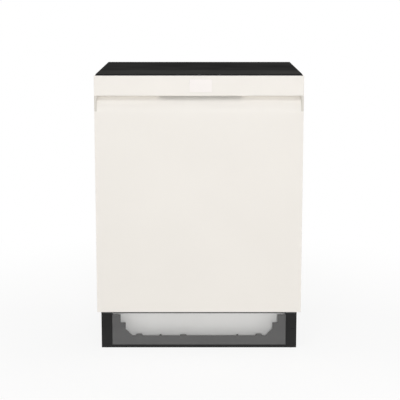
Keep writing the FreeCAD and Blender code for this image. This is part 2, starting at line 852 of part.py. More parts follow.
KEYS = {"key_power": "-key_pitch", "key_program": "0", "key_start": "key_pitch"}
STRIP_Y = (f"({FRONT} + plastic + slack)", LINER)
KEY_Y = f"(({STRIP_Y[0]} + {STRIP_Y[1]})/2)"


def control_strip():
    """Dark strip along the top edge of the door, with its push keys."""

    def key_block(name, x, gap, z):
        across = f"(key_length/2 + {gap})"
        along = f"(key_width/2 + {gap})"
        key_x = (f"{x} - {across}", f"{x} + {across}")
        return slab(name, key_x, (f"{KEY_Y} - {along}", f"{KEY_Y} + {along}"), z)

    side = f"({SIDE} - plastic - slack)"
    plate = slab("strip_plate", (f"-{side}", side), STRIP_Y, (STRIP_UNDER, "height"))
    through = (f"{STRIP_UNDER} - {PAST}", f"height + {PAST}")
    holes = [key_block(f"{name}_hole", x, "slack", through) for name, x in KEYS.items()]
    node("control_strip", cut("control_strip", plate, *holes))
    for name, x in KEYS.items():
        under = f"({STRIP_UNDER} - slack)"
        cap = key_block(f"{name}_cap", x, "0", (under, "height - slack"))
        rim = key_block(f"{name}_rim", x, "key_rim", (f"{under} - key_rim", under))
        node(name, fuse(name, cap, rim))

    top = f"({STRIP_UNDER} - board_drop)"
    board = slab(
        "board_plate",
        ("-board_length/2", "board_length/2"),
        (f"{KEY_Y} - board_width/2", f"{KEY_Y} + board_width/2"),
        (f"{top} - board_thick", top),
    )
    corners = [
        (f"{a}(board_length/2 - 2*post_radius)", f"{KEY_Y} {b} (board_width/2 - 2*post_radius)")
        for a in ("", "-")
        for b in ("+", "-")
    ]
    posts = [
        rod(f"board_post_{index}", "z", spot, "post_radius", (top, STRIP_UNDER))
        for index, spot in enumerate(corners)
    ]
    node("control_board", fuse("control_board", board, *posts))


UNIT_X = "(-cup_place_x)"
UNIT_Z = "(cup_place_z + unit_height/4)"
UNIT_FACE = f"({LINER} + unit_face)"
LATCH_Z = f"({ROOF_IN} - latch_drop)"


def door_liner():
    side = f"({SIDE_IN} - slack)"
    foot = f"({HINGE_Z} + liner_lift)"
    plate = slab("liner_plate", (f"-{side}", side), (LINER_IN, LINER), (foot, STRIP_UNDER))
    flanges = [
        slab(f"liner_flange_{sign}", both(f"{side} - steel", side)[sign],
             (f"{LINER} - liner_flange", LINER), (foot, f"{FASCIA_FOOT} - steel - slack"))
        for sign in (1, -1)
    ]
    through = (f"{LINER_IN} - {PAST}", f"{LINER} + {PAST}")
    unit_hole = slab(
        "liner_unit_hole",
        (f"{UNIT_X} - unit_width/2 - slack", f"{UNIT_X} + unit_width/2 + slack"),
        through,
        (f"{UNIT_Z} - unit_height/2 - slack", f"{UNIT_Z} + unit_height/2 + slack"),
    )
    latch_hole = slab(
        "liner_latch_hole",
        ("-(tongue_width/2 + 2*tongue_space)", "tongue_width/2 + 2*tongue_space"),
        through,
        (f"{LATCH_Z} - tongue_thick", f"{LATCH_Z} + tongue_thick"),
    )
    node("door_liner", cut("door_liner", fuse("liner_pan", plate, *flanges), unit_hole, latch_hole))

    case = slab(
        "latch_block",
        ("-latch_length/2", "latch_length/2"),
        (f"{LINER_IN} - latch_depth", LINER_IN),
        (f"{LATCH_Z} - latch_height/2", f"{LATCH_Z} + latch_height/2"),
    )
    slot = slab(
        "latch_slot",
        ("-(tongue_width/2 + tongue_space)", "tongue_width/2 + tongue_space"),
        (f"{LINER} - tongue_reach - tongue_space", f"{LINER} + {PAST}"),
        (f"{LATCH_Z} - (tongue_thick + tongue_space)/2", f"{LATCH_Z} + (tongue_thick + tongue_space)/2"),
    )
    node("latch_case", cut("latch_case", case, slot))

    narrow = ("-tongue_width/2", "tongue_width/2")
    drop_y = (f"{CASE} + strike_place", f"{CASE} + strike_place + strike_thick")
    roof_plate = slab(
        "strike_plate",
        ("-tongue_width", "tongue_width"),
        (f"{CASE} + steel", f"{CASE} + strike_length"),
        (f"{ROOF_IN} - strike_thick", ROOF_IN),
    )
    drop = slab("strike_drop", narrow, drop_y, (f"{LATCH_Z} - tongue_thick/2", f"{ROOF_IN} - strike_thick/2"))
    tongue = slab(
        "strike_tongue",
        narrow,
        (f"{LINER} - tongue_reach", drop_y[1]),
        (f"{LATCH_Z} - tongue_thick/2", f"{LATCH_Z} + tongue_thick/2"),
    )
    node("latch_strike", fuse("latch_strike", roof_plate, drop, tongue))


CUP_X = f"({UNIT_X} - unit_width/2 + cup_width/2 + 2*lid_margin + unit_rim)"
CAP_X = f"({UNIT_X} + unit_width/2 - cap_radius - unit_rim)"


def dispenser():
    """Detergent cup with a sliding lid, and the rinse aid filler beside it."""
    half_x, half_z = "unit_width/2", "unit_height/2"
    box = slab(
        "unit_box",
        (f"{UNIT_X} - {half_x}", f"{UNIT_X} + {half_x}"),
        (f"{LINER} - unit_depth", LINER),
        (f"{UNIT_Z} - {half_z}", f"{UNIT_Z} + {half_z}"),
    )
    face = slab(
        "unit_face_plate",
        (f"{UNIT_X} - {half_x} - unit_rim", f"{UNIT_X} + {half_x} + unit_rim"),
        (LINER, UNIT_FACE),
        (f"{UNIT_Z} - {half_z} - unit_rim", f"{UNIT_Z} + {half_z} + unit_rim"),
    )
    lid_half = "(cup_width/2 + lid_margin)"
    lid_y = (f"{UNIT_FACE} + slack", f"{UNIT_FACE} + slack + shutter_thick")
    guides = [
        slab(
            f"unit_guide_{sign}",
            (f"{CUP_X} + {x0}", f"{CUP_X} + {x1}"),
            (UNIT_FACE, lid_y[1]),
            (f"{UNIT_Z} - {half_z}", f"{UNIT_Z} + {half_z}"),
        )
        for sign, (x0, x1) in both(f"{lid_half} + slack", f"{lid_half} + slack + guide_width").items()
    ]
    cup = slab(
        "unit_cup",
        (f"{CUP_X} - cup_width/2", f"{CUP_X} + cup_width/2"),
        (f"{UNIT_FACE} - cup_depth", f"{UNIT_FACE} + {PAST}"),
        ("cup_place_z - cup_height/2", "cup_place_z + cup_height/2"),
    )
    port = rod("unit_port", "y", (CAP_X, "cup_place_z"), "cap_stem + running",
               (f"{UNIT_FACE} - cup_depth", f"{UNIT_FACE} + {PAST}"))
    node("dispenser_body", cut("dispenser_body", fuse("unit_solid", box, face, *guides), cup, port))

    shutter = slab(
        "lid_plate",
        (f"{CUP_X} - {lid_half}", f"{CUP_X} + {lid_half}"),
        lid_y,
        ("cup_place_z - cup_height/2 - lid_margin", "cup_place_z + cup_height/2 + lid_margin"),
    )
    thumb = slab(
        "lid_thumb",
        (f"{CUP_X} - cup_width/4", f"{CUP_X} + cup_width/4"),
        (lid_y[0], f"{lid_y[1]} + thumb_rise"),
        ("cup_place_z - thumb_height/2", "cup_place_z + thumb_height/2"),
    )
    node("dispenser_lid", fuse("dispenser_lid", shutter, thumb))

    knob = rod("cap_knob", "y", (CAP_X, "cup_place_z"), "cap_radius",
               (f"{UNIT_FACE} + slack", f"{UNIT_FACE} + slack + cap_rise/2"))
    stem = rod("cap_stem_rod", "y", (CAP_X, "cup_place_z"), "cap_stem",
               (f"{UNIT_FACE} - cup_depth/2", f"{UNIT_FACE} + slack"))
    grip = slab(
        "cap_grip",
        (f"{CAP_X} - cap_bar_length/2", f"{CAP_X} + cap_bar_length/2"),
        (f"{UNIT_FACE} + slack", f"{UNIT_FACE} + cap_rise"),
        ("cup_place_z - cap_bar_width/2", "cup_place_z + cap_bar_width/2"),
    )
    node("rinse_cap", fuse("rinse_cap", knob, stem, grip))


WELL_Y = "(-well_place)"
PUMP_Z = f"({FLOOR_UNDER} - pump_drop)"
PUMP_X = "(well_radius + well_wall + slack)"


def sump():
    """Well under the tub floor with its filters, and the pedestal of the lower spray arm."""
    outer = "(well_radius + well_wall)"
    bottom = f"({FLOOR_UNDER} - well_depth)"
    ledge_top = f"({FLOOR} - ledge_drop)"
    centre = ("0", WELL_Y)
    cup = cut(
        "well_cup",
        rod("well_block", "z", centre, outer, (bottom, FLOOR_UNDER)),
        rod("well_hollow", "z", centre, "well_radius", (f"{bottom} + well_wall", f"{FLOOR_UNDER} + {PAST}")),
    )
    ledge = cut(
        "well_ledge",
        rod("ledge_disc", "z", centre, "well_radius + well_wall/2",
            (f"{ledge_top} - well_wall/2", ledge_top)),
        rod("ledge_hole", "z", centre, "well_radius - ledge_width", (bottom, FLOOR)),
    )
    spine = ("0", "pedestal_place")
    duct = slab("sump_duct", ("-2*pedestal_radius", "2*pedestal_radius"),
                (f"{WELL_Y} + well_radius + well_wall/4", "pedestal_place + 2*pedestal_radius"),
                (f"{FLOOR_UNDER} - well_depth/2", FLOOR_UNDER))
    column = rod("pedestal", "z", spine, "pedestal_radius",
                 (f"{FLOOR_UNDER} - well_depth/4", f"{FLOOR} + pedestal_height"))
    node("sump_housing", fuse("sump_housing", cup, ledge, duct, column))

    sieve = cut(
        "fine_filter",
        rod("sieve_disc", "z", centre, "well_radius - slack", (ledge_top, f"{ledge_top} + steel")),
        rod("sieve_hole", "z", centre, "filter_radius + slack",
            (f"{ledge_top} - {PAST}", f"{ledge_top} + {PAST}")),
    )
    node("fine_filter", sieve)

    rest = "(steel + slack)"
    section = (
        ("0", "-filter_depth"),
        ("filter_radius", "-filter_depth"),
        ("filter_radius", rest),
        ("filter_radius + filter_rim", rest),
        ("filter_radius + filter_rim", f"{rest} + filter_wall"),
        ("filter_radius", f"{rest} + filter_wall"),
        ("filter_radius", "ledge_drop + filter_rim"),
        ("filter_radius - filter_wall", "ledge_drop + filter_rim"),
        ("filter_radius - filter_wall", "filter_wall - filter_depth"),
        ("0", "filter_wall - filter_depth"),
    )
    node("filter_cup", place(turned("filter_cup", section), "0", WELL_Y, ledge_top))


def pumps():
    axis = (WELL_Y, PUMP_Z)
    volute_start = f"({PUMP_X} + intake_length)"
    volute_end = f"({volute_start} + volute_length)"
    outer = fuse(
        "pump_solid",
        rod("pump_intake", "x", axis, "intake_radius", (PUMP_X, volute_start)),
        rod("pump_volute", "x", axis, "pump_radius", (volute_start, volute_end)),
        rod("pump_motor", "x", axis, "motor_radius", (volute_end, f"{volute_end} + motor_length")),
        slab("pump_saddle", (f"{volute_end} + motor_length/4", f"{volute_end} + motor_length*3/4"),
             (f"{WELL_Y} - motor_radius/2", f"{WELL_Y} + motor_radius/2"), (BASE_DECK, PUMP_Z)),
    )
    chamber = rod("pump_chamber", "x", axis, "pump_radius - well_wall",
                  (f"{volute_start} + well_wall", f"{volute_end} - well_wall"))
    shaft = rod("pump_shaft", "x", axis, "shaft_radius",
                (f"{volute_start} + 2*well_wall", f"{volute_end} - well_wall/2"))
    node("circulation_pump", fuse("circulation_pump", cut("pump_hollow", outer, chamber), shaft))

    middle = f"(({volute_start} + {volute_end})/2)"
    wide = (f"{middle} - impeller_length/2", f"{middle} + impeller_length/2")
    disc = rod("impeller_disc", "x", axis, "impeller_radius", (wide[0], f"{wide[0]} + well_wall"))
    hub = rod("impeller_hub", "x", axis, "impeller_hub", wide)
    vanes = [
        slab(f"vane_{name}", wide,
             (f"{WELL_Y} - {a}", f"{WELL_Y} + {a}"), (f"{PUMP_Z} - {b}", f"{PUMP_Z} + {b}"))
        for name, a, b in (
            ("flat", "vane_reach", "vane_thick/2"),
            ("upright", "vane_thick/2", "vane_reach"),
        )
    ]
    through = (f"{wide[0]} - {PAST}", f"{wide[1]} + {PAST}")
    bore = rod("impeller_bore", "x", axis, "shaft_radius + running", through)
    node("pump_impeller", cut("pump_impeller", fuse("impeller_solid", disc, hub, *vanes), bore))

    heater = fuse(
        "water_heater",
        rod("heater_tube", "x", axis, "heater_radius", (f"-({PUMP_X} + heater_length)", f"-{PUMP_X}")),
        slab("heater_foot", (f"-({PUMP_X} + heater_length*3/4)", f"-({PUMP_X} + heater_length/4)"),
             (f"{WELL_Y} - heater_radius/2", f"{WELL_Y} + heater_radius/2"), (BASE_DECK, PUMP_Z)),
    )
    node("water_heater", heater)

    drain = ("drain_place", "drain_height")
    flange = "drain_radius + collar_rise"
    start = f"({REAR_WALL} - drain_inset)"
    pump = fuse(
        "drain_pump",
        rod("drain_body", "y", drain, "drain_motor", (start, f"{start} + drain_length")),
        slab("drain_foot", ("drain_place - drain_motor/2", "drain_place + drain_motor/2"),
             (f"{start} + drain_length/4", f"{start} + drain_length*3/4"), (BASE_DECK, "drain_height")),
    )
    node("drain_pump", pump)
    union = fuse(
        "drain_union",
        rod("drain_pipe", "y", drain, "drain_radius", (f"{start} + drain_length", SPIGOT_END)),
        rod("drain_seat", "y", drain, flange, (f"{REAR_WALL} - collar_thick", REAR_WALL)),
        rod("drain_collar", "y", drain, flange, (BASE_REAR, f"{BASE_REAR} + collar_thick")),
    )
    node("drain_union", union)


def connections():
    """Water inlet, lead gland and softener."""
    collar = (BASE_REAR, f"{BASE_REAR} + collar_thick")
    inlet = ("-inlet_place", "inlet_height")
    valve = fuse(
        "inlet_valve",
        slab("valve_body", ("-inlet_place - inlet_body/2", "inlet_body/2 - inlet_place"),
             (f"{REAR_WALL} - inlet_body", REAR_WALL),
             ("inlet_height - inlet_body/2", "inlet_height + inlet_body/2")),
        rod("valve_spigot", "y", inlet, "inlet_radius", (f"{REAR_WALL} - {PAST}", SPIGOT_END)),
        rod("valve_collar", "y", inlet, "inlet_radius + collar_rise", collar),
    )
    node("inlet_valve", valve)
    gland = ("gland_place", "inlet_height")
    inside, outside = f"({REAR_WALL} - base_wall)", f"({BASE_REAR} + gland_reach)"
    node("cable_gland", cut(
        "cable_gland",
        fuse(
            "gland_solid",
            rod("gland_tube", "y", gland, "gland_radius", (inside, outside)),
            rod("gland_collar", "y", gland, "gland_radius + collar_rise", collar),
        ),
        rod("gland_bore", "y", gland, "gland_radius/2", (f"{inside} - {PAST}", f"{outside} + {PAST}")),
    ))

    centre = ("-salt_place", SALT_Y)
    mouth = f"({FLOOR} + salt_lip)"
    tank = fuse(
        "salt_solid",
        slab("salt_tank", ("-salt_place - salt_width/2", "salt_width/2 - salt_place"),
             (f"{SALT_Y} - salt_width/2", f"{SALT_Y} + salt_width/2"),
             (f"{FLOOR_UNDER} - salt_height", FLOOR_UNDER)),
        rod("salt_collar", "z", centre, "salt_neck", (f"{FLOOR_UNDER} - {PAST}", mouth)),
    )
    filling = (f"{FLOOR_UNDER} - salt_height/2", f"{mouth} + {PAST}")
    bore = rod("salt_bore", "z", centre, "salt_mouth", filling)
    node("salt_reservoir", cut("salt_reservoir", tank, bore))
    cap = turned("salt_cap", (
        ("0", "-salt_stem"),
        ("salt_mouth - running", "-salt_stem"),
        ("salt_mouth - running", "slack"),
        ("salt_cap_radius", "slack"),
        ("salt_cap_radius", "slack + salt_cap_thick"),
        ("0", "slack + salt_cap_thick"),
    ))
    node("salt_cap", place(cap, *centre, mouth))


def spray_arm(label, reach, hub_radius, hub_low, hub_high, bore_top):
    """Two tapered blades on a hub, lying along X about the upright hub axis."""
    half = "arm_width/2"
    tip = "tip_width/2"
    points = (
        (f"-{reach}", f"-{tip}"),
        ("0", f"-{half}"),
        (reach, f"-{tip}"),
        (reach, tip),
        ("0", half),
        (f"-{reach}", tip),
    )
    blade = padded(f"{label}_blade", "XY_Plane", points, "arm_thick")
    place(blade, y="pedestal_place", z=hub_low)
    centre = ("0", "pedestal_place")
    hub = rod(f"{label}_hub", "z", centre, f"{hub_radius} + hub_wall", (hub_low, hub_high))
    bore = rod(f"{label}_bore", "z", centre, f"{hub_radius} + running", (f"{hub_low} - {PAST}", bore_top))
    node(label, cut(label, fuse(f"{label}_solid", blade, hub), bore))


ROOF_RUN = f"({ROOF_IN} - roof_drop)"
DOCK_Z = f"({UPPER_FLOOR} - 3*wire_radius - 2*weld - nozzle_radius)"
DOCK_Y = f"({PIPE_Y} - pipe_radius - pipe_gap)"


def nozzle(name, top):
    """Upright spindle that a hanging spray arm turns on, with its retaining nut."""
    low = f"({top} - nozzle_drop)"
    spindle = rod(f"{name}_spindle", "z", ("0", "pedestal_place"), "nozzle_radius", (low, top))
    nut = rod(f"{name}_nut", "z", ("0", "pedestal_place"), "nut_radius", (f"{low} - nut_rise", low))
    return spindle, nut, low


def water_pipes():
    bend = doc.addObject("Part::Torus", "pipe_elbow")
    bend.setExpression("Radius1", bound("pipe_bend"))
    bend.setExpression("Radius2", bound("pipe_radius"))
    bend.Angle3 = 90
    bend.Placement = FreeCAD.Placement(FreeCAD.Vector(), FreeCAD.Rotation(FreeCAD.Vector(0, 1, 0), -90))
    place(bend, "0", f"{PIPE_Y} - pipe_bend", f"{ROOF_RUN} - pipe_bend")
    riser = rod("pipe_riser", "z", ("0", PIPE_Y), "pipe_radius", (FLOOR, f"{ROOF_RUN} - pipe_bend"))
    run = rod("pipe_run", "y", ("0", ROOF_RUN), "pipe_radius", ("pedestal_place", f"{PIPE_Y} - pipe_bend"))
    top = f"({ROOF_RUN} - crown_below)"
    spine = ("0", "pedestal_place")
    crown = rod("pipe_crown", "z", spine, "crown_radius", (top, f"{ROOF_RUN} + crown_above"))
    hanger = slab(
        "pipe_hanger",
        ("-pipe_radius/2", "pipe_radius/2"),
        ("hanger_place", "hanger_place + 2*pipe_radius"),
        (ROOF_RUN, ROOF_IN),
    )
    dock = rod("pipe_dock", "y", ("0", DOCK_Z), "elbow_radius", (DOCK_Y, PIPE_Y))
    spindle, nut, low = nozzle("ceiling", top)
    node("spray_feed_pipe", fuse("spray_feed_pipe", riser, bend, run, crown, hanger, dock, spindle, nut))
    hub_low = f"({low} + slack)"
    spray_arm("ceiling_spray_arm", "ceiling_reach", "nozzle_radius", hub_low, f"{top} - slack", top)

    feed_top = f"({DOCK_Z} - elbow_below)"
    spindle, nut, low = nozzle("upper", feed_top)
    tube = rod("feed_run", "y", ("0", DOCK_Z), "nozzle_radius", ("pedestal_place", f"{DOCK_Y} - slack"))
    elbow = rod("feed_elbow", "z", spine, "elbow_radius", (feed_top, f"{DOCK_Z} + elbow_above"))
    node("rack_feed_tube", fuse("rack_feed_tube", tube, elbow, spindle, nut))
    hub_low = f"({low} + slack)"
    spray_arm("upper_spray_arm", "upper_reach", "nozzle_radius", hub_low, f"{feed_top} - slack", feed_top)

    hub_low = f"({FLOOR} + arm_lift)"
    top = f"({FLOOR} + pedestal_height + slack)"
    spray_arm("lower_spray_arm", "lower_reach", "pedestal_radius", hub_low, f"{top} + plastic", top)


def bar(start, end, radius):
    """A straight wire between two points."""
    start, end = FreeCAD.Vector(*start), FreeCAD.Vector(*end)
    return Part.makeCylinder(radius, (end - start).Length, start, end - start)


def spread(low, high, pitch):
    """Evenly spaced places strictly between two limits."""
    count = max(1, round((high - low) / pitch) - 1)
    return [low + (high - low) * (index + 1) / (count + 1) for index in range(count)]


class Basket:
    """The wire grid of a rack: floor, uprights, rim and a carrying rail on each side."""

    def __init__(self, half, front, back, floor, rim, rail):
        wire, rim_wire, weld = number("wire_radius"), number("rim_radius"), number("weld")
        corner = number("rim_corner")
        inset = rim_wire + wire + weld
        side = half - inset
        near, far = front + inset, back - inset
        gap = wire + weld
        pitch = number("wire_pitch")
        self.wire, self.weld, self.floor = wire, weld, floor
        self.columns = spread(-side, side, pitch)
        self.rows = spread(near, far, pitch)
        cross = floor - 2 * wire - weld
        top = rim + rim_wire / 2
        self.shapes = [bar((x, near + gap, floor), (x, far - gap, floor), wire) for x in self.columns]
        self.shapes += [bar((gap - side, y, cross), (side - gap, y, cross), wire) for y in self.rows]
        for x in self.columns:
            self.shapes += [bar((x, y, floor - wire), (x, y, top), wire) for y in (near, far)]
        for y in self.rows:
            self.shapes += [bar((x, y, cross - wire), (x, y, top), wire) for x in (-side, side)]
        self.rail_x = side + 2 * wire + weld
        for x in (-self.rail_x, self.rail_x):
            self.shapes.append(bar((x, front + corner, rail), (x, back - corner, rail), wire))
        for y in (front, back):
            self.shapes.append(bar((corner - half, y, rim), (half - corner, y, rim), rim_wire))
        for x in (-half, half):
            self.shapes.append(bar((x, front + corner, rim), (x, back - corner, rim), rim_wire))
        for x, y, turn in (
            (half - corner, back - corner, 0),
            (corner - half, back - corner, 90),
            (corner - half, front + corner, 180),
            (half - corner, front + corner, 270),
        ):
            elbow = Part.makeTorus(corner, rim_wire, FreeCAD.Vector(), FreeCAD.Vector(0, 0, 1), -180, 180, 90)
            elbow.rotate(FreeCAD.Vector(), FreeCAD.Vector(0, 0, 1), turn)
            elbow.translate(FreeCAD.Vector(x, y, rim))
            self.shapes.append(elbow)

    def tines(self, columns, rows, height):
        low = self.floor + self.wire + self.weld
        radius = number("tine_radius")
        self.shapes += [bar((x, y, low), (x, y, low + height), radius) for x in columns for y in rows]


def block(low, high):
    low, high = FreeCAD.Vector(*low), FreeCAD.Vector(*high)
    size = high - low
    return Part.makeBox(size.x, size.y, size.z, low)


LOWER_HALF = f"({TUB_IN} - lower_side)"
LOWER_FRONT = f"({LINER} + lower_gap)"
RACK_FRONT = f"({LINER} + rack_gap)"
RACK_BACK = f"({TUB_REAR} - rack_rear)"
LOWER_Z = f"({SILL} + lower_lift)"
AXLE_Z = f"({TRACK} + slack + wheel_radius)"
BLOCK_X = f"({LOWER_HALF} - rim_radius + 2*wire_radius + weld)"
WHEEL_X = f"({BLOCK_X} + hinge_plate + slack + wheel_width/2)"
WHEEL_Y = {
    "front_wheels": f"({LOWER_FRONT} + wheel_inset)",
    "rear_wheels": f"({RACK_BACK} - wheel_inset)",
}
FOLD_Z = f"({LOWER_Z} + wire_radius + 2*weld + 3*tine_radius)"
FOLD_Y = (f"({LOWER_FRONT} + fold_start)", f"({LOWER_FRONT} + fold_start + fold_length)")


# Half width of a clip, in radii of the folding wire that it carries.
CLIP = 2.5


def hinge_eye(x, y, z, radius, drop, length):
    """A small clip with a bore along Y that carries a folding wire."""
    half = CLIP * radius
    body = block((x - half, y - length / 2, z - drop), (x + half, y + length / 2, z + half))
    start = FreeCAD.Vector(x, y - length, z)
    bore = Part.makeCylinder(radius + number("running"), 2 * length, start, FreeCAD.Vector(0, 1, 0))
    return body.cut(bore)


def lower_rack():
    rack = Basket(number(LOWER_HALF), number(LOWER_FRONT), number(RACK_BACK), number(LOWER_Z),
                  number(f"{LOWER_Z} + lower_height"), number(f"{LOWER_Z} + lower_rail"))
    fold, reach = -number("fold_place"), number("tine_height")
    free = (fold - number("fold_margin"), fold + reach + number("fold_margin"))
    columns = [x for x in rack.columns if not free[0] < x < free[1]]
    low, high = number(LOWER_FRONT) + number("rim_corner"), number(RACK_BACK) - number("rim_corner")
    rack.tines(columns[1:-1:2], spread(low, high, number("tine_pitch")), reach)

    span, thick, axle = number("axle_block"), number("hinge_plate"), number("axle_radius")
    inner, outer, height = number(BLOCK_X), number(f"{WHEEL_X} + wheel_width/2 + slack"), number(AXLE_Z)
    for y in (number(place_y) for place_y in WHEEL_Y.values()):
        for sign in (1, -1):
            edges = sorted((sign * inner, sign * (inner + thick)))
            plate = block((edges[0], y - span / 2, height - number("axle_foot")),
                          (edges[1], y + span / 2, number(f"{LOWER_Z} + axle_head")))
            stub = bar((sign * (inner + thick / 2), y, height), (sign * outer, y, height), axle)
            rack.shapes.append(plate.fuse(stub).removeSplitter())

    radius, height = number("tine_radius"), number(FOLD_Z)
    near, far = (number(limit) for limit in FOLD_Y)
    drop, length = height - rack.floor - rack.wire - rack.weld, number("axle_block") / 2
    for y in (near + length, far - length):
        nearest = min(rack.columns, key=lambda x: abs(x - fold))
        rack.shapes.append(hinge_eye(nearest, y, height, radius, drop, length))
    node("lower_rack", solids("lower_rack", rack.shapes))

    row = bar((nearest, near, height), (nearest, far, height), radius)
    prongs = [
        bar((nearest, y, height), (nearest, y, height + reach), radius)
        for y in spread(near + 2 * length, far - 2 * length, number("tine_pitch"))
    ]
    node("folding_tines", solids("folding_tines", [row.multiFuse(prongs)]))

    for label, place_y in WHEEL_Y.items():
        wheels = []
        for sign in (1, -1):
            middle, half = f"({sign}*{WHEEL_X})", "wheel_width/2"
            disc = rod(f"{label}_disc_{sign}", "x", (place_y, AXLE_Z), "wheel_radius",
                       (f"{middle} - {half}", f"{middle} + {half}"))
            bore = rod(f"{label}_bore_{sign}", "x", (place_y, AXLE_Z), "axle_radius + running",
                       (f"{middle} - wheel_width", f"{middle} + wheel_width"))
            wheels.append(cut(f"{label}_{sign}", disc, bore))
        node(label, group(label, *wheels))


UPPER_HALF = f"({TUB_IN} - upper_side)"
UPPER_RIM = f"({UPPER_FLOOR} + upper_height)"
UPPER_RAIL = f"({UPPER_FLOOR} + runner_rise)"
TRAY_RAIL = f"({TRAY_FLOOR} + tray_rise)"
RUNNER_X = f"({UPPER_HALF} - rim_radius + 2*wire_radius + weld)"
RAIL_X = f"({TUB_IN} - rail_depth)"
SLOT_X = f"({RAIL_X} + slot_depth)"
RUNNER_END = f"({SLOT_X} - slack*2 - slider_web)"
RAIL_Y = (f"({CASE} + rail_inset)", f"({TUB_REAR} - rail_inset)")
RUNNER_Y = (f"({RACK_FRONT} + rim_corner)", f"({RACK_BACK} - rim_corner)")


def rails():
    """Fixed channels on the tub sides and the sliders that run between channel and runner."""
    channels, sliders = [], []
    for name, level in (("upper", UPPER_RAIL), ("tray", TRAY_RAIL)):
        for sign in (1, -1):
            tag = f"{name}_{sign}"
            outer = slab(f"channel_{tag}", both(RAIL_X, TUB_IN)[sign], RAIL_Y,
                         (f"{level} - rail_height/2", f"{level} + rail_height/2"))
            past = (f"{RAIL_Y[0]} - {PAST}", f"{RAIL_Y[1]} + {PAST}")
            slot = slab(f"slot_{tag}", both(f"{RAIL_X} - {PAST}", SLOT_X)[sign], past,
                        (f"{level} - slot_height/2", f"{level} + slot_height/2"))
            channels.append(cut(f"rail_{tag}", outer, slot))
            bar_z = (f"{level} - slot_height/2 + slack", f"{level} + slot_height/2 - slack")
            bar_x = both(f"{RAIL_X} + slack", f"{SLOT_X} - slack")[sign]
            body = slab(f"slider_{tag}", bar_x, RUNNER_Y, bar_z)
            groove = slab(
                f"groove_{tag}",
                both(f"{RAIL_X} - {PAST}", f"{RUNNER_END} + slack")[sign],
                (f"{RUNNER_Y[0]} - {PAST}", f"{RUNNER_Y[1]} + {PAST}"),
                (f"{level} - runner_height/2 - slack", f"{level} + runner_height/2 + slack"),
            )
            sliders.append(cut(f"rack_slider_{tag}", body, groove))
    node("rack_rails", group("rack_rails", *channels))
    node("rack_sliders", group("rack_sliders", *sliders))


def runners(inner, level):
    """The two bars on a rack that ride in the sliders."""
    half = number("runner_height") / 2
    start, end = (number(limit) for limit in RUNNER_Y)
    bars = []
    for sign in (1, -1):
        low, high = sorted((sign * number(inner), sign * number(RUNNER_END)))
        bars.append(block((low, start, number(level) - half), (high, end, number(level) + half)))
    return bars


def upper_rack():
    rack = Basket(number(UPPER_HALF), number(RACK_FRONT), number(RACK_BACK), number(UPPER_FLOOR),
                  number(UPPER_RIM), number(UPPER_RAIL))
    low, high = number(RACK_FRONT) + number("rim_corner"), number(RACK_BACK) - number("rim_corner")
    rack.tines(rack.columns[len(rack.columns) // 2::3], spread(low, high, number("tine_pitch")),
               number("cup_tine_height"))
    rack.shapes += runners(RUNNER_X, UPPER_RAIL)

    wire = rack.wire
    axis_x = CLIP * wire + 2 * (wire + rack.weld) - number(f"{UPPER_HALF} - rim_radius")
    axis_z = number(f"{UPPER_FLOOR} + shelf_rise")
    near, far = number("-shelf_length/2"), number("shelf_length/2")
    length = number("axle_block") / 2
    eyes = [min(rack.rows, key=lambda row: abs(row - end)) for end in (near, far)]
    rack.shapes += [hinge_eye(axis_x, y, axis_z, wire, CLIP * wire, length) for y in eyes]
    node("upper_rack", solids("upper_rack", rack.shapes))

    reach = number("shelf_width")
    near, far = eyes[0] - 2 * length, eyes[1] + 2 * length
    rods = [bar((x, near, axis_z), (x, far, axis_z), wire) for x in (axis_x, axis_x + reach)]
    slats = spread(near, far, number("wire_pitch"))
    clear = [y for y in slats if all(abs(y - eye) > length for eye in eyes)]
    across = [near + 2 * wire, *clear, far - 2 * wire]
    slat = number("tine_radius")
    rods += [bar((axis_x, y, axis_z), (axis_x + reach, y, axis_z), slat) for y in across]
    node("cup_shelf", solids("cup_shelf", [rods[0].multiFuse(rods[1:])]))


def cutlery_tray():
    half = f"({RUNNER_X})"
    top = f"({TRAY_FLOOR} + tray_height)"
    outer = slab("tray_outer", (f"-{half}", half), (RACK_FRONT, RACK_BACK), (TRAY_FLOOR, top))
    inner_y = (f"{RACK_FRONT} + plastic", f"{RACK_BACK} - plastic")
    deck = (f"{TRAY_FLOOR} + plastic", f"{top} + {PAST}")
    middle = slab("tray_middle", ("-tray_divider", "tray_divider"), inner_y, deck)
    wings = [
        slab(f"tray_wing_{sign}", both("tray_divider + plastic", f"{half} - plastic")[sign], inner_y, deck)
        for sign in (1, -1)
    ]
    bars = [
        slab(
            f"tray_runner_{sign}",
            both(half, RUNNER_END)[sign],
            RUNNER_Y,
            (f"{TRAY_RAIL} - runner_height/2", f"{TRAY_RAIL} + runner_height/2"),
        )
        for sign in (1, -1)
    ]
    node("cutlery_tray", fuse("cutlery_tray", cut("tray_basin", outer, middle, *wings), *bars))


for build in (
    base_tray, feet, toe_frame, toe_plate, side_panels, rear_panel, top_panel, tub, door_gasket, hinges,
    door_skin, control_fascia, control_strip, door_liner, dispenser, sump, pumps, connections, water_pipes,
    lower_rack, rails, upper_rack, cutlery_tray,
):
    build()

doc.recompute()
for thing in doc.Objects:
    if {"Invalid", "Error"} & set(thing.State):
        raise RuntimeError(f"{thing.Label} failed: {thing.State}")
for part in parts:
    if part.Shape.isNull() or not part.Shape.isValid():
        raise RuntimeError(f"{part.Label} has no valid shape")

os.makedirs("parts", exist_ok=True)
for part in parts:
    part.Shape.exportStep(f"parts/{part.Label}.step")
print(len(parts), "sub-parts written")
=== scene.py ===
import json
import math

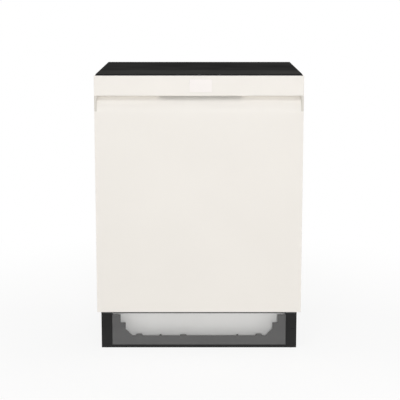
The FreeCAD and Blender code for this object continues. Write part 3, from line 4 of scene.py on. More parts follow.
import bmesh
import bpy
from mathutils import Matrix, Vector

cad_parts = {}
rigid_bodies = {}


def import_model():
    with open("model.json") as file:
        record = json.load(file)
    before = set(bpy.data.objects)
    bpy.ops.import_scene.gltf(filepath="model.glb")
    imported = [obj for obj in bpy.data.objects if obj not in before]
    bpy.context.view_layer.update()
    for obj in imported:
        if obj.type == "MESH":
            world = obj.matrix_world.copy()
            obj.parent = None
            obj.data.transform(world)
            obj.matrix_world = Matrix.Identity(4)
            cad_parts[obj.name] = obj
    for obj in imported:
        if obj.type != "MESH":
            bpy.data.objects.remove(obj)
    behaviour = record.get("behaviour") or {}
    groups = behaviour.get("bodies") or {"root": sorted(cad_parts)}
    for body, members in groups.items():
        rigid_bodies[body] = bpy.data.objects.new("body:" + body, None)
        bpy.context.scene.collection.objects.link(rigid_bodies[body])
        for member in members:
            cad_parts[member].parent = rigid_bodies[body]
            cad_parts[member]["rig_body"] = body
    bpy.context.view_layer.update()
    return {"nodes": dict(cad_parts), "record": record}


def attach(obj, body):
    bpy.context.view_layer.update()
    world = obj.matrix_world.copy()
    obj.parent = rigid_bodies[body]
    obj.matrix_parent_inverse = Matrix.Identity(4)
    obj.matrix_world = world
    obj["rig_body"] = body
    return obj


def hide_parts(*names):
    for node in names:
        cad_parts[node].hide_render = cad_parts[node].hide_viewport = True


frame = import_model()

scene = bpy.context.scene
scene.view_settings.view_transform = "Standard"
nodes = frame["nodes"]
slotOf = {row["node"]: row["material_slot"] for row in frame["record"]["subparts"]}
print("frame:", len(nodes), "construction pieces")

photoView = {"eye": (0.0030, -3.8091, 1.0978), "tilt": 10.245, "lens": 111.412, "sensor": 36}
cameraData = bpy.data.cameras.new("photoCamera")
cameraData.sensor_width = photoView["sensor"]
cameraData.lens = photoView["lens"]
camera = bpy.data.objects.new("photoCamera", cameraData)
camera.location = photoView["eye"]
camera.rotation_euler = (math.radians(90 - photoView["tilt"]), 0, 0)
scene.collection.objects.link(camera)
scene.camera = camera


def hexToLinear(code):
    values = [int(code[i:i + 2], 16) / 255 for i in (1, 3, 5)]
    return [v / 12.92 if v <= 0.04045 else ((v + 0.055) / 1.055) ** 2.4 for v in values] + [1.0]


def perMetre(sizeMm):
    return 1000 / sizeMm  # pattern scale for a feature of this size


def addNode(tree, kind, settings=None, links=None):
    node = tree.nodes.new("ShaderNode" + kind)
    for key, value in (settings or {}).items():
        if isinstance(key, int) or key in node.inputs:
            node.inputs[key].default_value = value
        else:
            setattr(node, key, value)
    for key, source in (links or {}).items():
        tree.links.new(source, node.inputs[key])
    return node


# white studio: what the camera and the gloss see is plain white, what lights the object is softer
studio = {"world": 0.33, "floorHalf": 9.0, "floorColour": "#F4F3F1", "fleckColour": "#F8F7F5", "fleckMm": 40,
          "shadowShare": 0.14, "shadowFrom": 0.5, "shadowTo": 1.5}


def seenDirectly(tree):
    path = addNode(tree, "LightPath")
    shiny = addNode(tree, "Math", {"operation": "MAXIMUM"}, {0: path.outputs["Is Glossy Ray"],
                                                            1: path.outputs["Is Transmission Ray"]})
    either = addNode(tree, "Math", {"operation": "MAXIMUM"}, {0: path.outputs["Is Camera Ray"],
                                                             1: shiny.outputs[0]})
    return either.outputs[0]


world = bpy.data.worlds.new("whiteStudio")
scene.world = world
world.use_nodes = True
tree = world.node_tree
tree.nodes.clear()
glow = addNode(tree, "Background", {"Color": (1, 1, 1, 1), "Strength": studio["world"]})
sweep = addNode(tree, "Background", {"Color": (1, 1, 1, 1), "Strength": 1.0})
sky = addNode(tree, "MixShader", links={0: seenDirectly(tree), 1: glow.outputs[0], 2: sweep.outputs[0]})
addNode(tree, "OutputWorld", links={"Surface": sky.outputs[0]})

# painted board floor: reads as the white of the sweep and keeps a faint contact shadow
floorPaint = bpy.data.materials.new("paintedStudioBoard")
floorPaint.use_nodes = True
tree = floorPaint.node_tree
tree.nodes.clear()
place = addNode(tree, "TexCoord").outputs["Object"]
fleck = addNode(tree, "TexNoise", {"Scale": perMetre(studio["fleckMm"]), "Detail": 3.0}, {"Vector": place})
chalk = addNode(tree, "Mix", {"data_type": "RGBA", 6: hexToLinear(studio["floorColour"]),
                              7: hexToLinear(studio["fleckColour"])}, {0: fleck.outputs["Fac"]})
matt = addNode(tree, "BsdfDiffuse", links={"Color": chalk.outputs[2]})
white = addNode(tree, "Emission", {"Color": (1, 1, 1, 1), "Strength": 1.0})
away = addNode(tree, "VectorMath", {"operation": "LENGTH"}, {0: place})
fade = addNode(tree, "MapRange", {"interpolation_type": "SMOOTHSTEP", "From Min": studio["shadowFrom"],
                                  "From Max": studio["shadowTo"], "To Min": 1 - studio["shadowShare"],
                                  "To Max": 1.0}, {"Value": away.outputs["Value"]})  # no shadow left far out
shown = addNode(tree, "MixShader", links={0: fade.outputs[0], 1: matt.outputs[0], 2: white.outputs[0]})
board = addNode(tree, "MixShader", links={0: seenDirectly(tree), 1: matt.outputs[0], 2: shown.outputs[0]})
addNode(tree, "OutputMaterial", links={"Surface": board.outputs[0]})
half = studio["floorHalf"]
floorMesh = bpy.data.meshes.new("studioFloor")
floorMesh.from_pydata([(-half, -half, 0), (half, -half, 0), (half, half, 0), (-half, half, 0)], [], [(0, 1, 2, 3)])
floorMesh.materials.append(floorPaint)
studioFloor = bpy.data.objects.new("studioFloor", floorMesh)
scene.collection.objects.link(studioFloor)

softboxes = {
    "overFront": {"at": (-0.6, -4.6, 6.6), "aim": (0, -0.2, 0.4), "size": 2.6, "power": 127},
    "lowFront": {"at": (0.2, -6.0, 1.5), "aim": (0, -0.2, 0.1), "size": 0.9, "power": 108},
    "leftSide": {"at": (-4.4, 0.3, 2.0), "aim": (0, 0, 0.4), "size": 2.4, "power": 42},
    "rightSide": {"at": (4.4, 0.3, 2.0), "aim": (0, 0, 0.4), "size": 2.4, "power": 42},
    "overBack": {"at": (0.9, 4.2, 2.6), "aim": (0, 0.1, 0.4), "size": 2.4, "power": 50},
}
for name, box in softboxes.items():
    lampData = bpy.data.lights.new(name, "AREA")
    lampData.size = box["size"]
    lampData.energy = box["power"]
    lamp = bpy.data.objects.new(name, lampData)
    lamp.location = box["at"]
    lamp.rotation_euler = (Vector(box["aim"]) - Vector(box["at"])).to_track_quat("-Z", "Y").to_euler()
    lamp.visible_camera = False
    scene.collection.objects.link(lamp)
print("studio: camera, floor and", len(softboxes), "softboxes")


def startFinish(name):
    material = bpy.data.materials.new(name)
    material.use_nodes = True
    tree = material.node_tree
    tree.nodes.clear()
    return material, tree, addNode(tree, "TexCoord").outputs["Object"]


def endFinish(material, tree, look, colour, rough, relief, shader):
    # colour is a pattern from shade to tone, rough a pattern with its span, relief a pattern with its strength
    if colour.type != "RGBA":  # a pattern that already has its colours stays as it is
        tint = addNode(tree, "Mix", {"data_type": "RGBA", 6: hexToLinear(look["shade"]),
                                     7: hexToLinear(look["tone"])}, {0: colour})
        colour = tint.outputs[2]
    pattern, low, high = rough
    dull = addNode(tree, "MapRange", {"From Min": low, "From Max": high, "To Min": look["rough"][0],
                                      "To Max": look["rough"][1]}, {"Value": pattern})
    pattern, strength = relief
    skin = addNode(tree, "Bump", {"Strength": strength, "Distance": look["deepMm"] / 1000}, {"Height": pattern})
    surface = addNode(tree, "BsdfPrincipled", shader, {"Base Color": colour, "Roughness": dull.outputs[0],
                                                       "Normal": skin.outputs[0]})
    addNode(tree, "OutputMaterial", links={"Surface": surface.outputs["BSDF"]})
    return material


# powder coated steel, sprayed and baked: satin skin with a soft orange peel, a touch uneven over a hand's width
def coatedSteel(name, look):
    material, tree, place = startFinish(name)
    cloud = addNode(tree, "TexNoise", {"Scale": perMetre(look["cloudMm"]), "Detail": 2.0}, {"Vector": place})
    peel = addNode(tree, "TexNoise", {"Scale": perMetre(look["peelMm"]), "Detail": 2.0}, {"Vector": place})
    dust = addNode(tree, "TexNoise", {"Scale": perMetre(look["dustMm"]), "Detail": 6.0}, {"Vector": place})
    return endFinish(material, tree, look, cloud.outputs["Fac"], (dust.outputs["Fac"], 0.3, 0.7),
                     (peel.outputs["Fac"], 0.6), {"Specular IOR Level": look["sheen"], "IOR": 1.5})


# peel is 1 to 2 mm on the real coat, drawn at 4 to 5 so that it shows
creamCoat = coatedSteel("powderCoatedSteelCream", {
    "tone": "#F2EEE8", "shade": "#EDE9E3", "cloudMm": 240, "peelMm": 4, "dustMm": 36, "deepMm": 0.05,
    "rough": (0.36, 0.46), "sheen": 0.22})
charcoalCoat = coatedSteel("powderCoatedSteelCharcoal", {
    "tone": "#37383A", "shade": "#313234", "cloudMm": 260, "peelMm": 5, "dustMm": 45, "deepMm": 0.05,
    "rough": (0.46, 0.56), "sheen": 0.3})
# primed toe plate: drawn near white, lighter than the sheet's own grey, as painted light against the shade in the toe
# recess
primerCoatPaintedLight = coatedSteel("primedSteelPale", {
    "tone": "#F7F7F6", "shade": "#F1F1F0", "cloudMm": 120, "peelMm": 5, "dustMm": 45, "deepMm": 0.04,
    "rough": (0.5, 0.64), "sheen": 0.3})


# moulded plastic out of an eroded tool: fine pebble grain, faint flow marks along the part, polished where touched
def mouldedPlastic(name, look):
    material, tree, place = startFinish(name)
    drawn = addNode(tree, "Mapping", {"Scale": (1.0, 3.5, 3.5)}, {"Vector": place})  # flow runs along the width
    flow = addNode(tree, "TexNoise", {"Scale": perMetre(look["flowMm"]), "Detail": 3.0, "Distortion": 0.6},
                   {"Vector": drawn.outputs[0]})
    pebble = addNode(tree, "TexVoronoi", {"feature": "SMOOTH_F1", "Scale": perMetre(look["grainMm"]),
                                          "Smoothness": 0.7}, {"Vector": place})
    rub = addNode(tree, "TexNoise", {"Scale": perMetre(70), "Detail": 5.0}, {"Vector": place})  # a palm's width
    return endFinish(material, tree, look, flow.outputs["Fac"], (rub.outputs["Fac"], 0.3, 0.7),
                     (pebble.outputs["Distance"], 0.5), {"Specular IOR Level": look["sheen"], "IOR": 1.5})


# the eroded grain is under 1 mm on all of these, drawn at 2.5 to 3.5 so that it shows
creamAbs = mouldedPlastic("mouldedAbsCream", {
    "tone": "#F3EFE9", "shade": "#EFEBE5", "flowMm": 160, "grainMm": 2.5, "deepMm": 0.04, "rough": (0.32, 0.42),
    "sheen": 0.18})
# warm grey of the grip's end cheeks, darker than the cream: partly their own grey, partly painted shade at the grip's
# ends
warmGreyAbsPaintedShade = mouldedPlastic("mouldedAbsWarmGrey", {
    "tone": "#D9D5CD", "shade": "#D2CEC6", "flowMm": 90, "grainMm": 2.5, "deepMm": 0.08, "rough": (0.45, 0.55),
    "sheen": 0.35})
blackAbs = mouldedPlastic("mouldedAbsBlack", {
    "tone": "#2A2A2B", "shade": "#222223", "flowMm": 120, "grainMm": 2.5, "deepMm": 0.06, "rough": (0.5, 0.6),
    "sheen": 0.0})
# grip pocket: grey plastic whose tone is set to give the dark line under the fascia, partly painted shade
gripAbsPaintedShade = mouldedPlastic("mouldedAbsGripGrey", {
    "tone": "#DAD6CE", "shade": "#D4D0C8", "flowMm": 90, "grainMm": 2.5, "deepMm": 0.08, "rough": (0.48, 0.58),
    "sheen": 0.3})
charcoalPp = mouldedPlastic("mouldedPolypropyleneCharcoal", {
    "tone": "#272727", "shade": "#222222", "flowMm": 140, "grainMm": 3.5, "deepMm": 0.15, "rough": (0.5, 0.64),
    "sheen": 0.14})
midGreyPp = mouldedPlastic("mouldedPolypropyleneMidGrey", {
    "tone": "#666666", "shade": "#5E5E5E", "flowMm": 110, "grainMm": 3, "deepMm": 0.1, "rough": (0.48, 0.6),
    "sheen": 0.3})
lightGreyPp = mouldedPlastic("mouldedPolypropyleneLightGrey", {
    "tone": "#CBCED0", "shade": "#C2C5C8", "flowMm": 70, "grainMm": 2.5, "deepMm": 0.05, "rough": (0.34, 0.48),
    "sheen": 0.4})
whitePp = mouldedPlastic("mouldedPolypropyleneWhite", {
    "tone": "#E7E9EA", "shade": "#DFE2E4", "flowMm": 60, "grainMm": 2.5, "deepMm": 0.04, "rough": (0.32, 0.44),
    "sheen": 0.4})
greyPom = mouldedPlastic("mouldedAcetalGrey", {
    "tone": "#A3A8AD", "shade": "#979CA2", "flowMm": 60, "grainMm": 3, "deepMm": 0.04, "rough": (0.3, 0.42),
    "sheen": 0.45})
graphitePp = mouldedPlastic("mouldedPolypropyleneGraphite", {
    "tone": "#5A5F66", "shade": "#50555B", "flowMm": 80, "grainMm": 2.5, "deepMm": 0.06, "rough": (0.4, 0.52),
    "sheen": 0.35})


# melamine faced board, pressed against a matt plate: near black, almost no gloss, a fine leathery print
def pressedMelamine(name, look):
    material, tree, place = startFinish(name)
    leather = addNode(tree, "TexVoronoi", {"feature": "DISTANCE_TO_EDGE", "Scale": perMetre(look["printMm"])},
                      {"Vector": place})
    cloud = addNode(tree, "TexNoise", {"Scale": perMetre(look["cloudMm"]), "Detail": 4.0}, {"Vector": place})
    speck = addNode(tree, "TexNoise", {"Scale": perMetre(look["speckMm"]), "Detail": 3.0}, {"Vector": place})
    both = addNode(tree, "Math", {"operation": "MULTIPLY_ADD", 1: 0.6}, {0: speck.outputs["Fac"],
                                                                         2: cloud.outputs["Fac"]})
    blend = addNode(tree, "MapRange", {"From Min": 0.55, "From Max": 1.05}, {"Value": both.outputs[0]})
    return endFinish(material, tree, look, blend.outputs[0], (cloud.outputs["Fac"], 0.3, 0.7),
                     (leather.outputs["Distance"], 0.4), {"Specular IOR Level": look["sheen"], "IOR": 1.5})


# the print is about 1 mm wide on the real board, drawn at 5 so that it shows
boardPrint = {"printMm": 5, "cloudMm": 130, "speckMm": 5, "deepMm": 0.1, "rough": (0.62, 0.76), "sheen": 0.0}
melamine = pressedMelamine("pressedMelamineCharcoal", {**boardPrint, "tone": "#3A3A39", "shade": "#2C2C2C"})
# the rail's melamine is a lighter copy of the board's: painted sheen, the light lying along the top's front
railMelaminePaintedSheen = pressedMelamine("pressedMelamineGraphite", {**boardPrint, "tone": "#474745", "shade": "#3A3A39"})


# high gloss ABS, out of a polished tool: black, with fine wiping scratches that break the reflection
def polishedAbs(look):
    material, tree, place = startFinish("polishedAbsBlack")
    drawn = addNode(tree, "Mapping", {"Scale": (0.06, 1.0, 1.0)}, {"Vector": place})
    wipe = addNode(tree, "TexNoise", {"Scale": perMetre(look["scratchMm"]), "Detail": 4.0},
                   {"Vector": drawn.outputs[0]})
    cloud = addNode(tree, "TexNoise", {"Scale": perMetre(look["cloudMm"]), "Detail": 3.0}, {"Vector": place})
    return endFinish(material, tree, look, cloud.outputs["Fac"], (wipe.outputs["Fac"], 0.45, 0.75),
                     (wipe.outputs["Fac"], 0.15), {"Specular IOR Level": look["sheen"], "IOR": 1.54})


# scratches are about 0.1 mm, drawn at 2 so that they show
glossAbs = polishedAbs({"tone": "#1B1C1E", "shade": "#131416", "scratchMm": 2, "cloudMm": 45, "deepMm": 0.03,
                        "rough": (0.14, 0.32), "sheen": 0.3})


# cast acrylic, flame polished, opal: milky, with light held just under a glossy face
def opalAcrylic(look):
    material, tree, place = startFinish("polishedAcrylicOpal")
    milk = addNode(tree, "TexNoise", {"Scale": perMetre(look["milkMm"]), "Detail": 3.0}, {"Vector": place})
    return endFinish(material, tree, look, milk.outputs["Fac"], (milk.outputs["Fac"], 0, 1),
                     (milk.outputs["Fac"], 0.1), {"Specular IOR Level": look["sheen"], "IOR": 1.49})


opalWindow = opalAcrylic({"tone": "#FAF5F2", "shade": "#F7F2EF", "milkMm": 24, "deepMm": 0.05, "rough": (0.1, 0.24),
                          "sheen": 0.12})


# zinc plated steel, hot dipped: bluish grey flakes of crystal, each turned its own way
def zincPlate(look):
    material, tree, place = startFinish("hotDippedZincSteel")
    wander = addNode(tree, "TexNoise", {"Scale": perMetre(look["wanderMm"]), "Detail": 2.0}, {"Vector": place})
    bent = addNode(tree, "MixRGB", {"blend_type": "ADD", "Fac": 0.012}, {"Color1": place,
                                                                       "Color2": wander.outputs["Color"]})
    flake = addNode(tree, "TexVoronoi", {"Scale": perMetre(look["flakeMm"])}, {"Vector": bent.outputs[0]})
    rim = addNode(tree, "TexVoronoi", {"feature": "DISTANCE_TO_EDGE", "Scale": perMetre(look["flakeMm"])},
                  {"Vector": bent.outputs[0]})
    grey = addNode(tree, "RGBToBW", links={"Color": flake.outputs["Color"]})
    return endFinish(material, tree, look, grey.outputs[0], (grey.outputs[0], 0, 1), (rim.outputs["Distance"], 0.3),
                     {"Metallic": 1.0})


zincSteel = zincPlate({"tone": "#B2B7BB", "shade": "#979DA2", "flakeMm": 11, "wanderMm": 6.6, "deepMm": 0.04,
                       "rough": (0.3, 0.52)})


# stainless steel, belt brushed: long fine lines that stretch each highlight, with a cloudy rinse haze
def brushedStainless(look):
    material, tree, place = startFinish("brushedStainlessSteel")
    drawn = addNode(tree, "Mapping", {"Scale": (0.012, 0.012, 1.0)}, {"Vector": place})  # lines lie level
    line = addNode(tree, "TexNoise", {"Scale": perMetre(look["lineMm"]), "Detail": 3.0},
                   {"Vector": drawn.outputs[0]})
    haze = addNode(tree, "TexNoise", {"Scale": perMetre(look["hazeMm"]), "Detail": 5.0}, {"Vector": place})
    return endFinish(material, tree, look, line.outputs["Fac"], (haze.outputs["Fac"], 0.3, 0.7),
                     (line.outputs["Fac"], 0.25), {"Metallic": 1.0, "Anisotropic": 0.4})


# brush lines are about 0.2 mm, drawn at 1.5 so that they show
stainless = brushedStainless({"tone": "#CFD1D2", "shade": "#BFC2C4", "lineMm": 1.5, "hazeMm": 90, "deepMm": 0.05,
                              "rough": (0.27, 0.33)})


# stainless sheet, punched: rows of small dark holes in a bright plate; the holes are painted, and their dark is painted
# shade
def punchedStainless(look):
    material, tree, place = startFinish("punchedStainlessSteel")
    hole = addNode(tree, "TexVoronoi", {"Scale": perMetre(look["pitchMm"]), "Randomness": 0.0,
                                        "voronoi_dimensions": "2D"}, {"Vector": place})
    plate = addNode(tree, "MapRange", {"interpolation_type": "SMOOTHSTEP", "From Min": look["open"] - look["rim"],
                                       "From Max": look["open"] + look["rim"]}, {"Value": hole.outputs["Distance"]})
    return endFinish(material, tree, look, plate.outputs[0], (plate.outputs[0], 0, 1), (plate.outputs[0], 0.6),
                     {"Metallic": 1.0})


# holes are at 1.6 mm, drawn at 3.2 so that they show; the shade colour is painted shade, the dark inside seen through
# them
punchedSteel = punchedStainless({"tone": "#C6C9CB", "shade": "#2C2F31", "pitchMm": 3.2, "open": 0.3, "rim": 0.06,
                                 "deepMm": 0.4, "rough": (0.7, 0.3)})


# EPDM rubber, extruded: dull dark grey with faint lines from the die and a bloom that greys it
def extrudedRubber(look):
    material, tree, place = startFinish("extrudedEpdmRubber")
    die = addNode(tree, "TexNoise", {"Scale": perMetre(look["dieMm"]), "Detail": 2.0}, {"Vector": place})
    bloom = addNode(tree, "TexNoise", {"Scale": perMetre(look["bloomMm"]), "Detail": 5.0}, {"Vector": place})
    return endFinish(material, tree, look, bloom.outputs["Fac"], (bloom.outputs["Fac"], 0, 1),
                     (die.outputs["Fac"], 0.4), {"Specular IOR Level": look["sheen"], "IOR": 1.5})


# die lines are about 0.3 mm, drawn at 2 so that they show
rubber = extrudedRubber({"tone": "#4B4C4E", "shade": "#414244", "dieMm": 2, "bloomMm": 40, "deepMm": 0.08,
                         "rough": (0.6, 0.8), "sheen": 0.3})


# glass epoxy board under solder mask: glossy green with paler copper runs beneath
def solderMask(look):
    material, tree, place = startFinish("solderMaskedEpoxyBoard")
    run = addNode(tree, "TexBrick", {"Scale": perMetre(look["runMm"]), "Mortar Size": 0.06,
                                     "Color1": hexToLinear(look["tone"]), "Color2": hexToLinear(look["shade"]),
                                     "Mortar": hexToLinear(look["copper"])}, {"Vector": place})
    return endFinish(material, tree, look, run.outputs["Color"], (run.outputs["Fac"], 0, 1),
                     (run.outputs["Fac"], 0.4), {"IOR": 1.55})


# runs are about 1 mm apart, drawn at 6 so that they show
maskedBoard = solderMask({"tone": "#1F5A3E", "shade": "#1A4E36", "copper": "#4E8A58", "runMm": 6, "deepMm": 0.1,
                          "rough": (0.2, 0.34)})


# aluminium, die cast: grey, softly pitted, brighter where the tool drew along it
def castAluminium(look):
    material, tree, place = startFinish("dieCastAluminium")
    pit = addNode(tree, "TexNoise", {"Scale": perMetre(look["pitMm"]), "Detail": 6.0}, {"Vector": place})
    return endFinish(material, tree, look, pit.outputs["Fac"], (pit.outputs["Fac"], 0, 1), (pit.outputs["Fac"], 0.5),
                     {"Metallic": 1.0})


# pits are under 1 mm, drawn at 4 so that they show
castMetal = castAluminium({"tone": "#B2B4B6", "shade": "#8F9194", "pitMm": 4, "deepMm": 0.2, "rough": (0.4, 0.62)})


# nylon coated wire, dipped hot: thick smooth grey skin that pools a little, so the gloss wavers along each wire
def dippedNylon(look):
    material, tree, place = startFinish("dippedNylonWire")
    pool = addNode(tree, "TexNoise", {"Scale": perMetre(look["poolMm"]), "Detail": 2.0}, {"Vector": place})
    return endFinish(material, tree, look, pool.outputs["Fac"], (pool.outputs["Fac"], 0.3, 0.7),
                     (pool.outputs["Fac"], 0.4), {"Specular IOR Level": look["sheen"], "IOR": 1.53})


coatedWire = dippedNylon({"tone": "#878E96", "shade": "#7B828A", "poolMm": 12, "deepMm": 0.3, "rough": (0.24, 0.4),
                          "sheen": 0.45})


# spring steel, drawn and oiled: dark bluish wire with bright die lines
def drawnSpringSteel(look):
    material, tree, place = startFinish("drawnSpringSteel")
    die = addNode(tree, "TexNoise", {"Scale": perMetre(look["lineMm"]), "Detail": 4.0}, {"Vector": place})
    return endFinish(material, tree, look, die.outputs["Fac"], (die.outputs["Fac"], 0, 1), (die.outputs["Fac"], 0.3),
                     {"Metallic": 1.0})


# die lines are about 0.2 mm, drawn at 3 so that they show
springSteel = drawnSpringSteel({"tone": "#9A9EA3", "shade": "#6E7277", "lineMm": 3, "deepMm": 0.05,
                                "rough": (0.24, 0.42)})
print("finishes:", len(bpy.data.materials))

finishOf = {
    "cream_paint": creamCoat, "cream_plastic": creamAbs, "pale_window": opalWindow,
    "warm_grey_plastic": warmGreyAbsPaintedShade, "dark_gloss": glossAbs, "charcoal_paint": charcoalCoat,
    "charcoal_plastic": charcoalPp, "grey_plastic": midGreyPp, "light_steel": primerCoatPaintedLight,
    "zinc_steel": zincSteel, "stainless": stainless, "rubber": rubber, "board": maskedBoard,
    "light_grey_plastic": lightGreyPp, "white_plastic": whitePp, "motor_metal": castMetal,
    "spray_plastic": greyPom, "rack_coating": coatedWire, "rack_plastic": graphitePp,
}
ownFinish = {"top_panel": melamine, "grip_pocket": gripAbsPaintedShade, "control_strip": blackAbs, "key_power": blackAbs,
             "key_program": blackAbs, "key_start": blackAbs, "fine_filter": punchedSteel,
             "balance_springs": springSteel}


def finishFor(nodeName):
    return ownFinish.get(nodeName, finishOf[slotOf[nodeName]])


for name, node in nodes.items():  # every construction piece gets its finish, shown or not
    node.data.materials.clear()
    node.data.materials.append(finishFor(name))

edgeAngle = 34  # degrees between two faces from which their edge counts as one
tip = 0.1  # a turned piece closes on this radius in mm
axisOrder = {"x": (2, 0, 1), "y": (0, 2, 1), "z": (0, 1, 2)}  # where across, across and along go in x, y, z


def pieceName(nodeName):
    first, *rest = nodeName.split("_")
    return first + "".join(word.capitalize() for word in rest)


def evenAngles(count):
    return [2 * math.pi * k / count for k in range(count)]


def shadeSmooth(mesh, sharp=edgeAngle):
    for face in mesh.polygons:
        face.use_smooth = True
    mesh.set_sharp_from_angle(angle=math.radians(sharp))


def addPiece(name, data, finish, nodeName, replaced=()):
    piece = bpy.data.objects.new(name, data)
    scene.collection.objects.link(piece)
    data.materials.clear()
    data.materials.append(finish)
    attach(piece, nodes[nodeName]["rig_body"])
    if replaced:
        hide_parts(*replaced)
    return piece


def easeEdges(piece, easeMm, steps=2, weighed=False):
    bevel = piece.modifiers.new("easedEdges", "BEVEL")
    bevel.width = easeMm / 1000
    bevel.segments = steps
    bevel.limit_method = "WEIGHT" if weighed else "ANGLE"
    bevel.angle_limit = math.radians(edgeAngle)
    piece.modifiers.new("evenNormals", "WEIGHTED_NORMAL").keep_sharp = True


def easedCopy(nodeName, easeMm, steps=2, weigh=None):
    mesh = nodes[nodeName].data.copy()
    work = bmesh.new()
    work.from_mesh(mesh)
    bmesh.ops.remove_doubles(work, verts=work.verts, dist=1e-6)
    bmesh.ops.dissolve_limit(work, angle_limit=math.radians(0.5), verts=work.verts, edges=work.edges)
    if weigh:  # how much of the easing each sharp edge takes, by its middle in mm
        weight = work.edges.layers.float.new("bevel_weight_edge")
        for edge in work.edges:
            if edge.calc_face_angle(0) > math.radians(edgeAngle):
                edge[weight] = weigh((edge.verts[0].co + edge.verts[1].co) * 500)
    work.to_mesh(mesh)
    work.free()
    shadeSmooth(mesh)
    piece = addPiece(pieceName(nodeName), mesh, finishFor(nodeName), nodeName, [nodeName])
    easeEdges(piece, easeMm, steps, bool(weigh))
    return piece


def easeAll(edges):  # each node's easing in mm and its steps
    for nodeName, (easeMm, steps) in edges.items():
        easedCopy(nodeName, easeMm, steps)


def newShell():
    return {"verts": [], "faces": []}


def addRings(shell, rings, closed=False):
    start, count = len(shell["verts"]), len(rings[0])
    for ring in rings:
        shell["verts"] += [tuple(v / 1000 for v in point) for point in ring]
    for i in range(len(rings) if closed else len(rings) - 1):
        a, b = start + i * count, start + (i + 1) % len(rings) * count
        shell["faces"] += [(a + k, a + (k + 1) % count, b + (k + 1) % count, b + k) for k in range(count)]
    if not closed:
        end = start + (len(rings) - 1) * count
        shell["faces"].append(tuple(start + k for k in reversed(range(count))))
        shell["faces"].append(tuple(end + k for k in range(count)))


def addBar(shell, outline, ends, axis):  # an outline drawn straight along an axis
    order = axisOrder[axis]
    addRings(shell, [[tuple((u, v, end)[k] for k in order) for u, v in outline] for end in ends])


def addBlock(shell, low, high):
    (x0, y0, z0), (x1, y1, z1) = low, high
    addBar(shell, [(x0, y0), (x1, y0), (x1, y1), (x0, y1)], (z0, z1), "z")


def addTurned(shell, profile, centre, axis="z", count=32, hoop=False):
    # profile pairs are radius and place along the axis; a hoop's profile runs round its own section
    order = axisOrder[axis]
    rings = []
    for radius, along in profile:
        spots = [(centre[0] + radius * math.cos(angle), centre[1] + radius * math.sin(angle), along)
                 for angle in evenAngles(count)]
        rings.append([tuple(spot[k] for k in order) for spot in spots])
    addRings(shell, rings, closed=hoop)


def turnedOutline(outline, centre, angle):
    c, s = math.cos(angle), math.sin(angle)
    return [(centre[0] + c * u - s * v, centre[1] + s * u + c * v) for u, v in outline]


def addSheet(shell, form, at):
    # a sheet with fields pressed in; at() turns across, upright and depth into a place; cuts are left open
    slope, fields, cuts = form.get("slope", 0), form["fields"], form.get("cuts", [])
    lines = []
    for (low, high), near, far in ((form["across"], 0, 2), (form["upright"], 1, 3)):
        edges = {low, high} | {box[k] for box in fields + cuts for k in (near, far)}
        edges |= {v for field in fields for v in (field[near] + slope, field[far] - slope)}
        lines.append(sorted(v for v in edges if low <= v <= high))
    a, b = lines
    spot, cells = {}, set()
    for side in (0, 1):
        for i, u in enumerate(a):
            for j, v in enumerate(b):
                sunk = any(f[0] + slope <= u <= f[2] - slope and f[1] + slope <= v <= f[3] - slope for f in fields)
                spot[side, i, j] = len(shell["verts"])
                deep = side * form["sheet"] + (form["depth"] if sunk else 0)
                shell["verts"].append(tuple(c / 1000 for c in at(u, v, deep)))
    for i in range(len(a) - 1):
        for j in range(len(b) - 1):
            u, v = (a[i] + a[i + 1]) / 2, (b[j] + b[j + 1]) / 2
            if not any(c[0] < u < c[2] and c[1] < v < c[3] for c in cuts):
                cells.add((i, j))
    for i, j in cells:
        corners = [(i, j), (i + 1, j), (i + 1, j + 1), (i, j + 1)]
        shell["faces"].append(tuple(spot[(0, *c)] for c in corners))
        shell["faces"].append(tuple(spot[(1, *c)] for c in reversed(corners)))
        for k, beside in enumerate(((i, j - 1), (i + 1, j), (i, j + 1), (i - 1, j))):
            if beside not in cells:  # the sheet's cut edge
                c, d = corners[k], corners[(k + 1) % 4]
                shell["faces"].append((spot[(0, *c)], spot[(1, *c)], spot[(1, *d)], spot[(0, *d)]))


def shellPiece(name, shell, nodeName, replaced=(), finish=None, easeMm=0.0, steps=2, sharp=edgeAngle):
    mesh = bpy.data.meshes.new(name)
    mesh.from_pydata(shell["verts"], [], shell["faces"])
    work = bmesh.new()
    work.from_mesh(mesh)
    bmesh.ops.recalc_face_normals(work, faces=work.faces)
    work.to_mesh(mesh)
    work.free()
    shadeSmooth(mesh, sharp)
    piece = addPiece(name, mesh, finish or finishFor(nodeName), nodeName, replaced)
    if easeMm:
        easeEdges(piece, easeMm, steps)
    return piece


def bentRun(points, bendMm, steps=5):
    route = [Vector(points[0])]
    for before, corner, after in zip(points, points[1:], points[2:]):
        before, corner, after = Vector(before), Vector(corner), Vector(after)
        start = corner + (before - corner).normalized() * bendMm
        end = corner + (after - corner).normalized() * bendMm
        for k in range(steps + 1):
            t = k / steps
            route.append(start * (1 - t) ** 2 + corner * 2 * t * (1 - t) + end * t ** 2)
    return route + [Vector(points[-1])]


def wirePiece(name, runs, wireMm, nodeName, replaced=()):
    # a run is its points, how thick it is against the main wire, and whether it is a ring
    curve = bpy.data.curves.new(name, "CURVE")
    curve.dimensions = "3D"
    curve.bevel_depth = wireMm / 1000
    curve.bevel_resolution = 2
    curve.use_fill_caps = True
    for points, thick, ring in runs:
        spline = curve.splines.new("POLY")
        spline.points.add(len(points) - 1)
        spline.use_cyclic_u = ring
        for spot, point in zip(spline.points, points):
            spot.co = (point[0] / 1000, point[1] / 1000, point[2] / 1000, 1)
            spot.radius = thick * (point[3] if len(point) > 3 else 1)
        spline.use_smooth = True
    return addPiece(name, curve, finishFor(nodeName), nodeName, replaced)


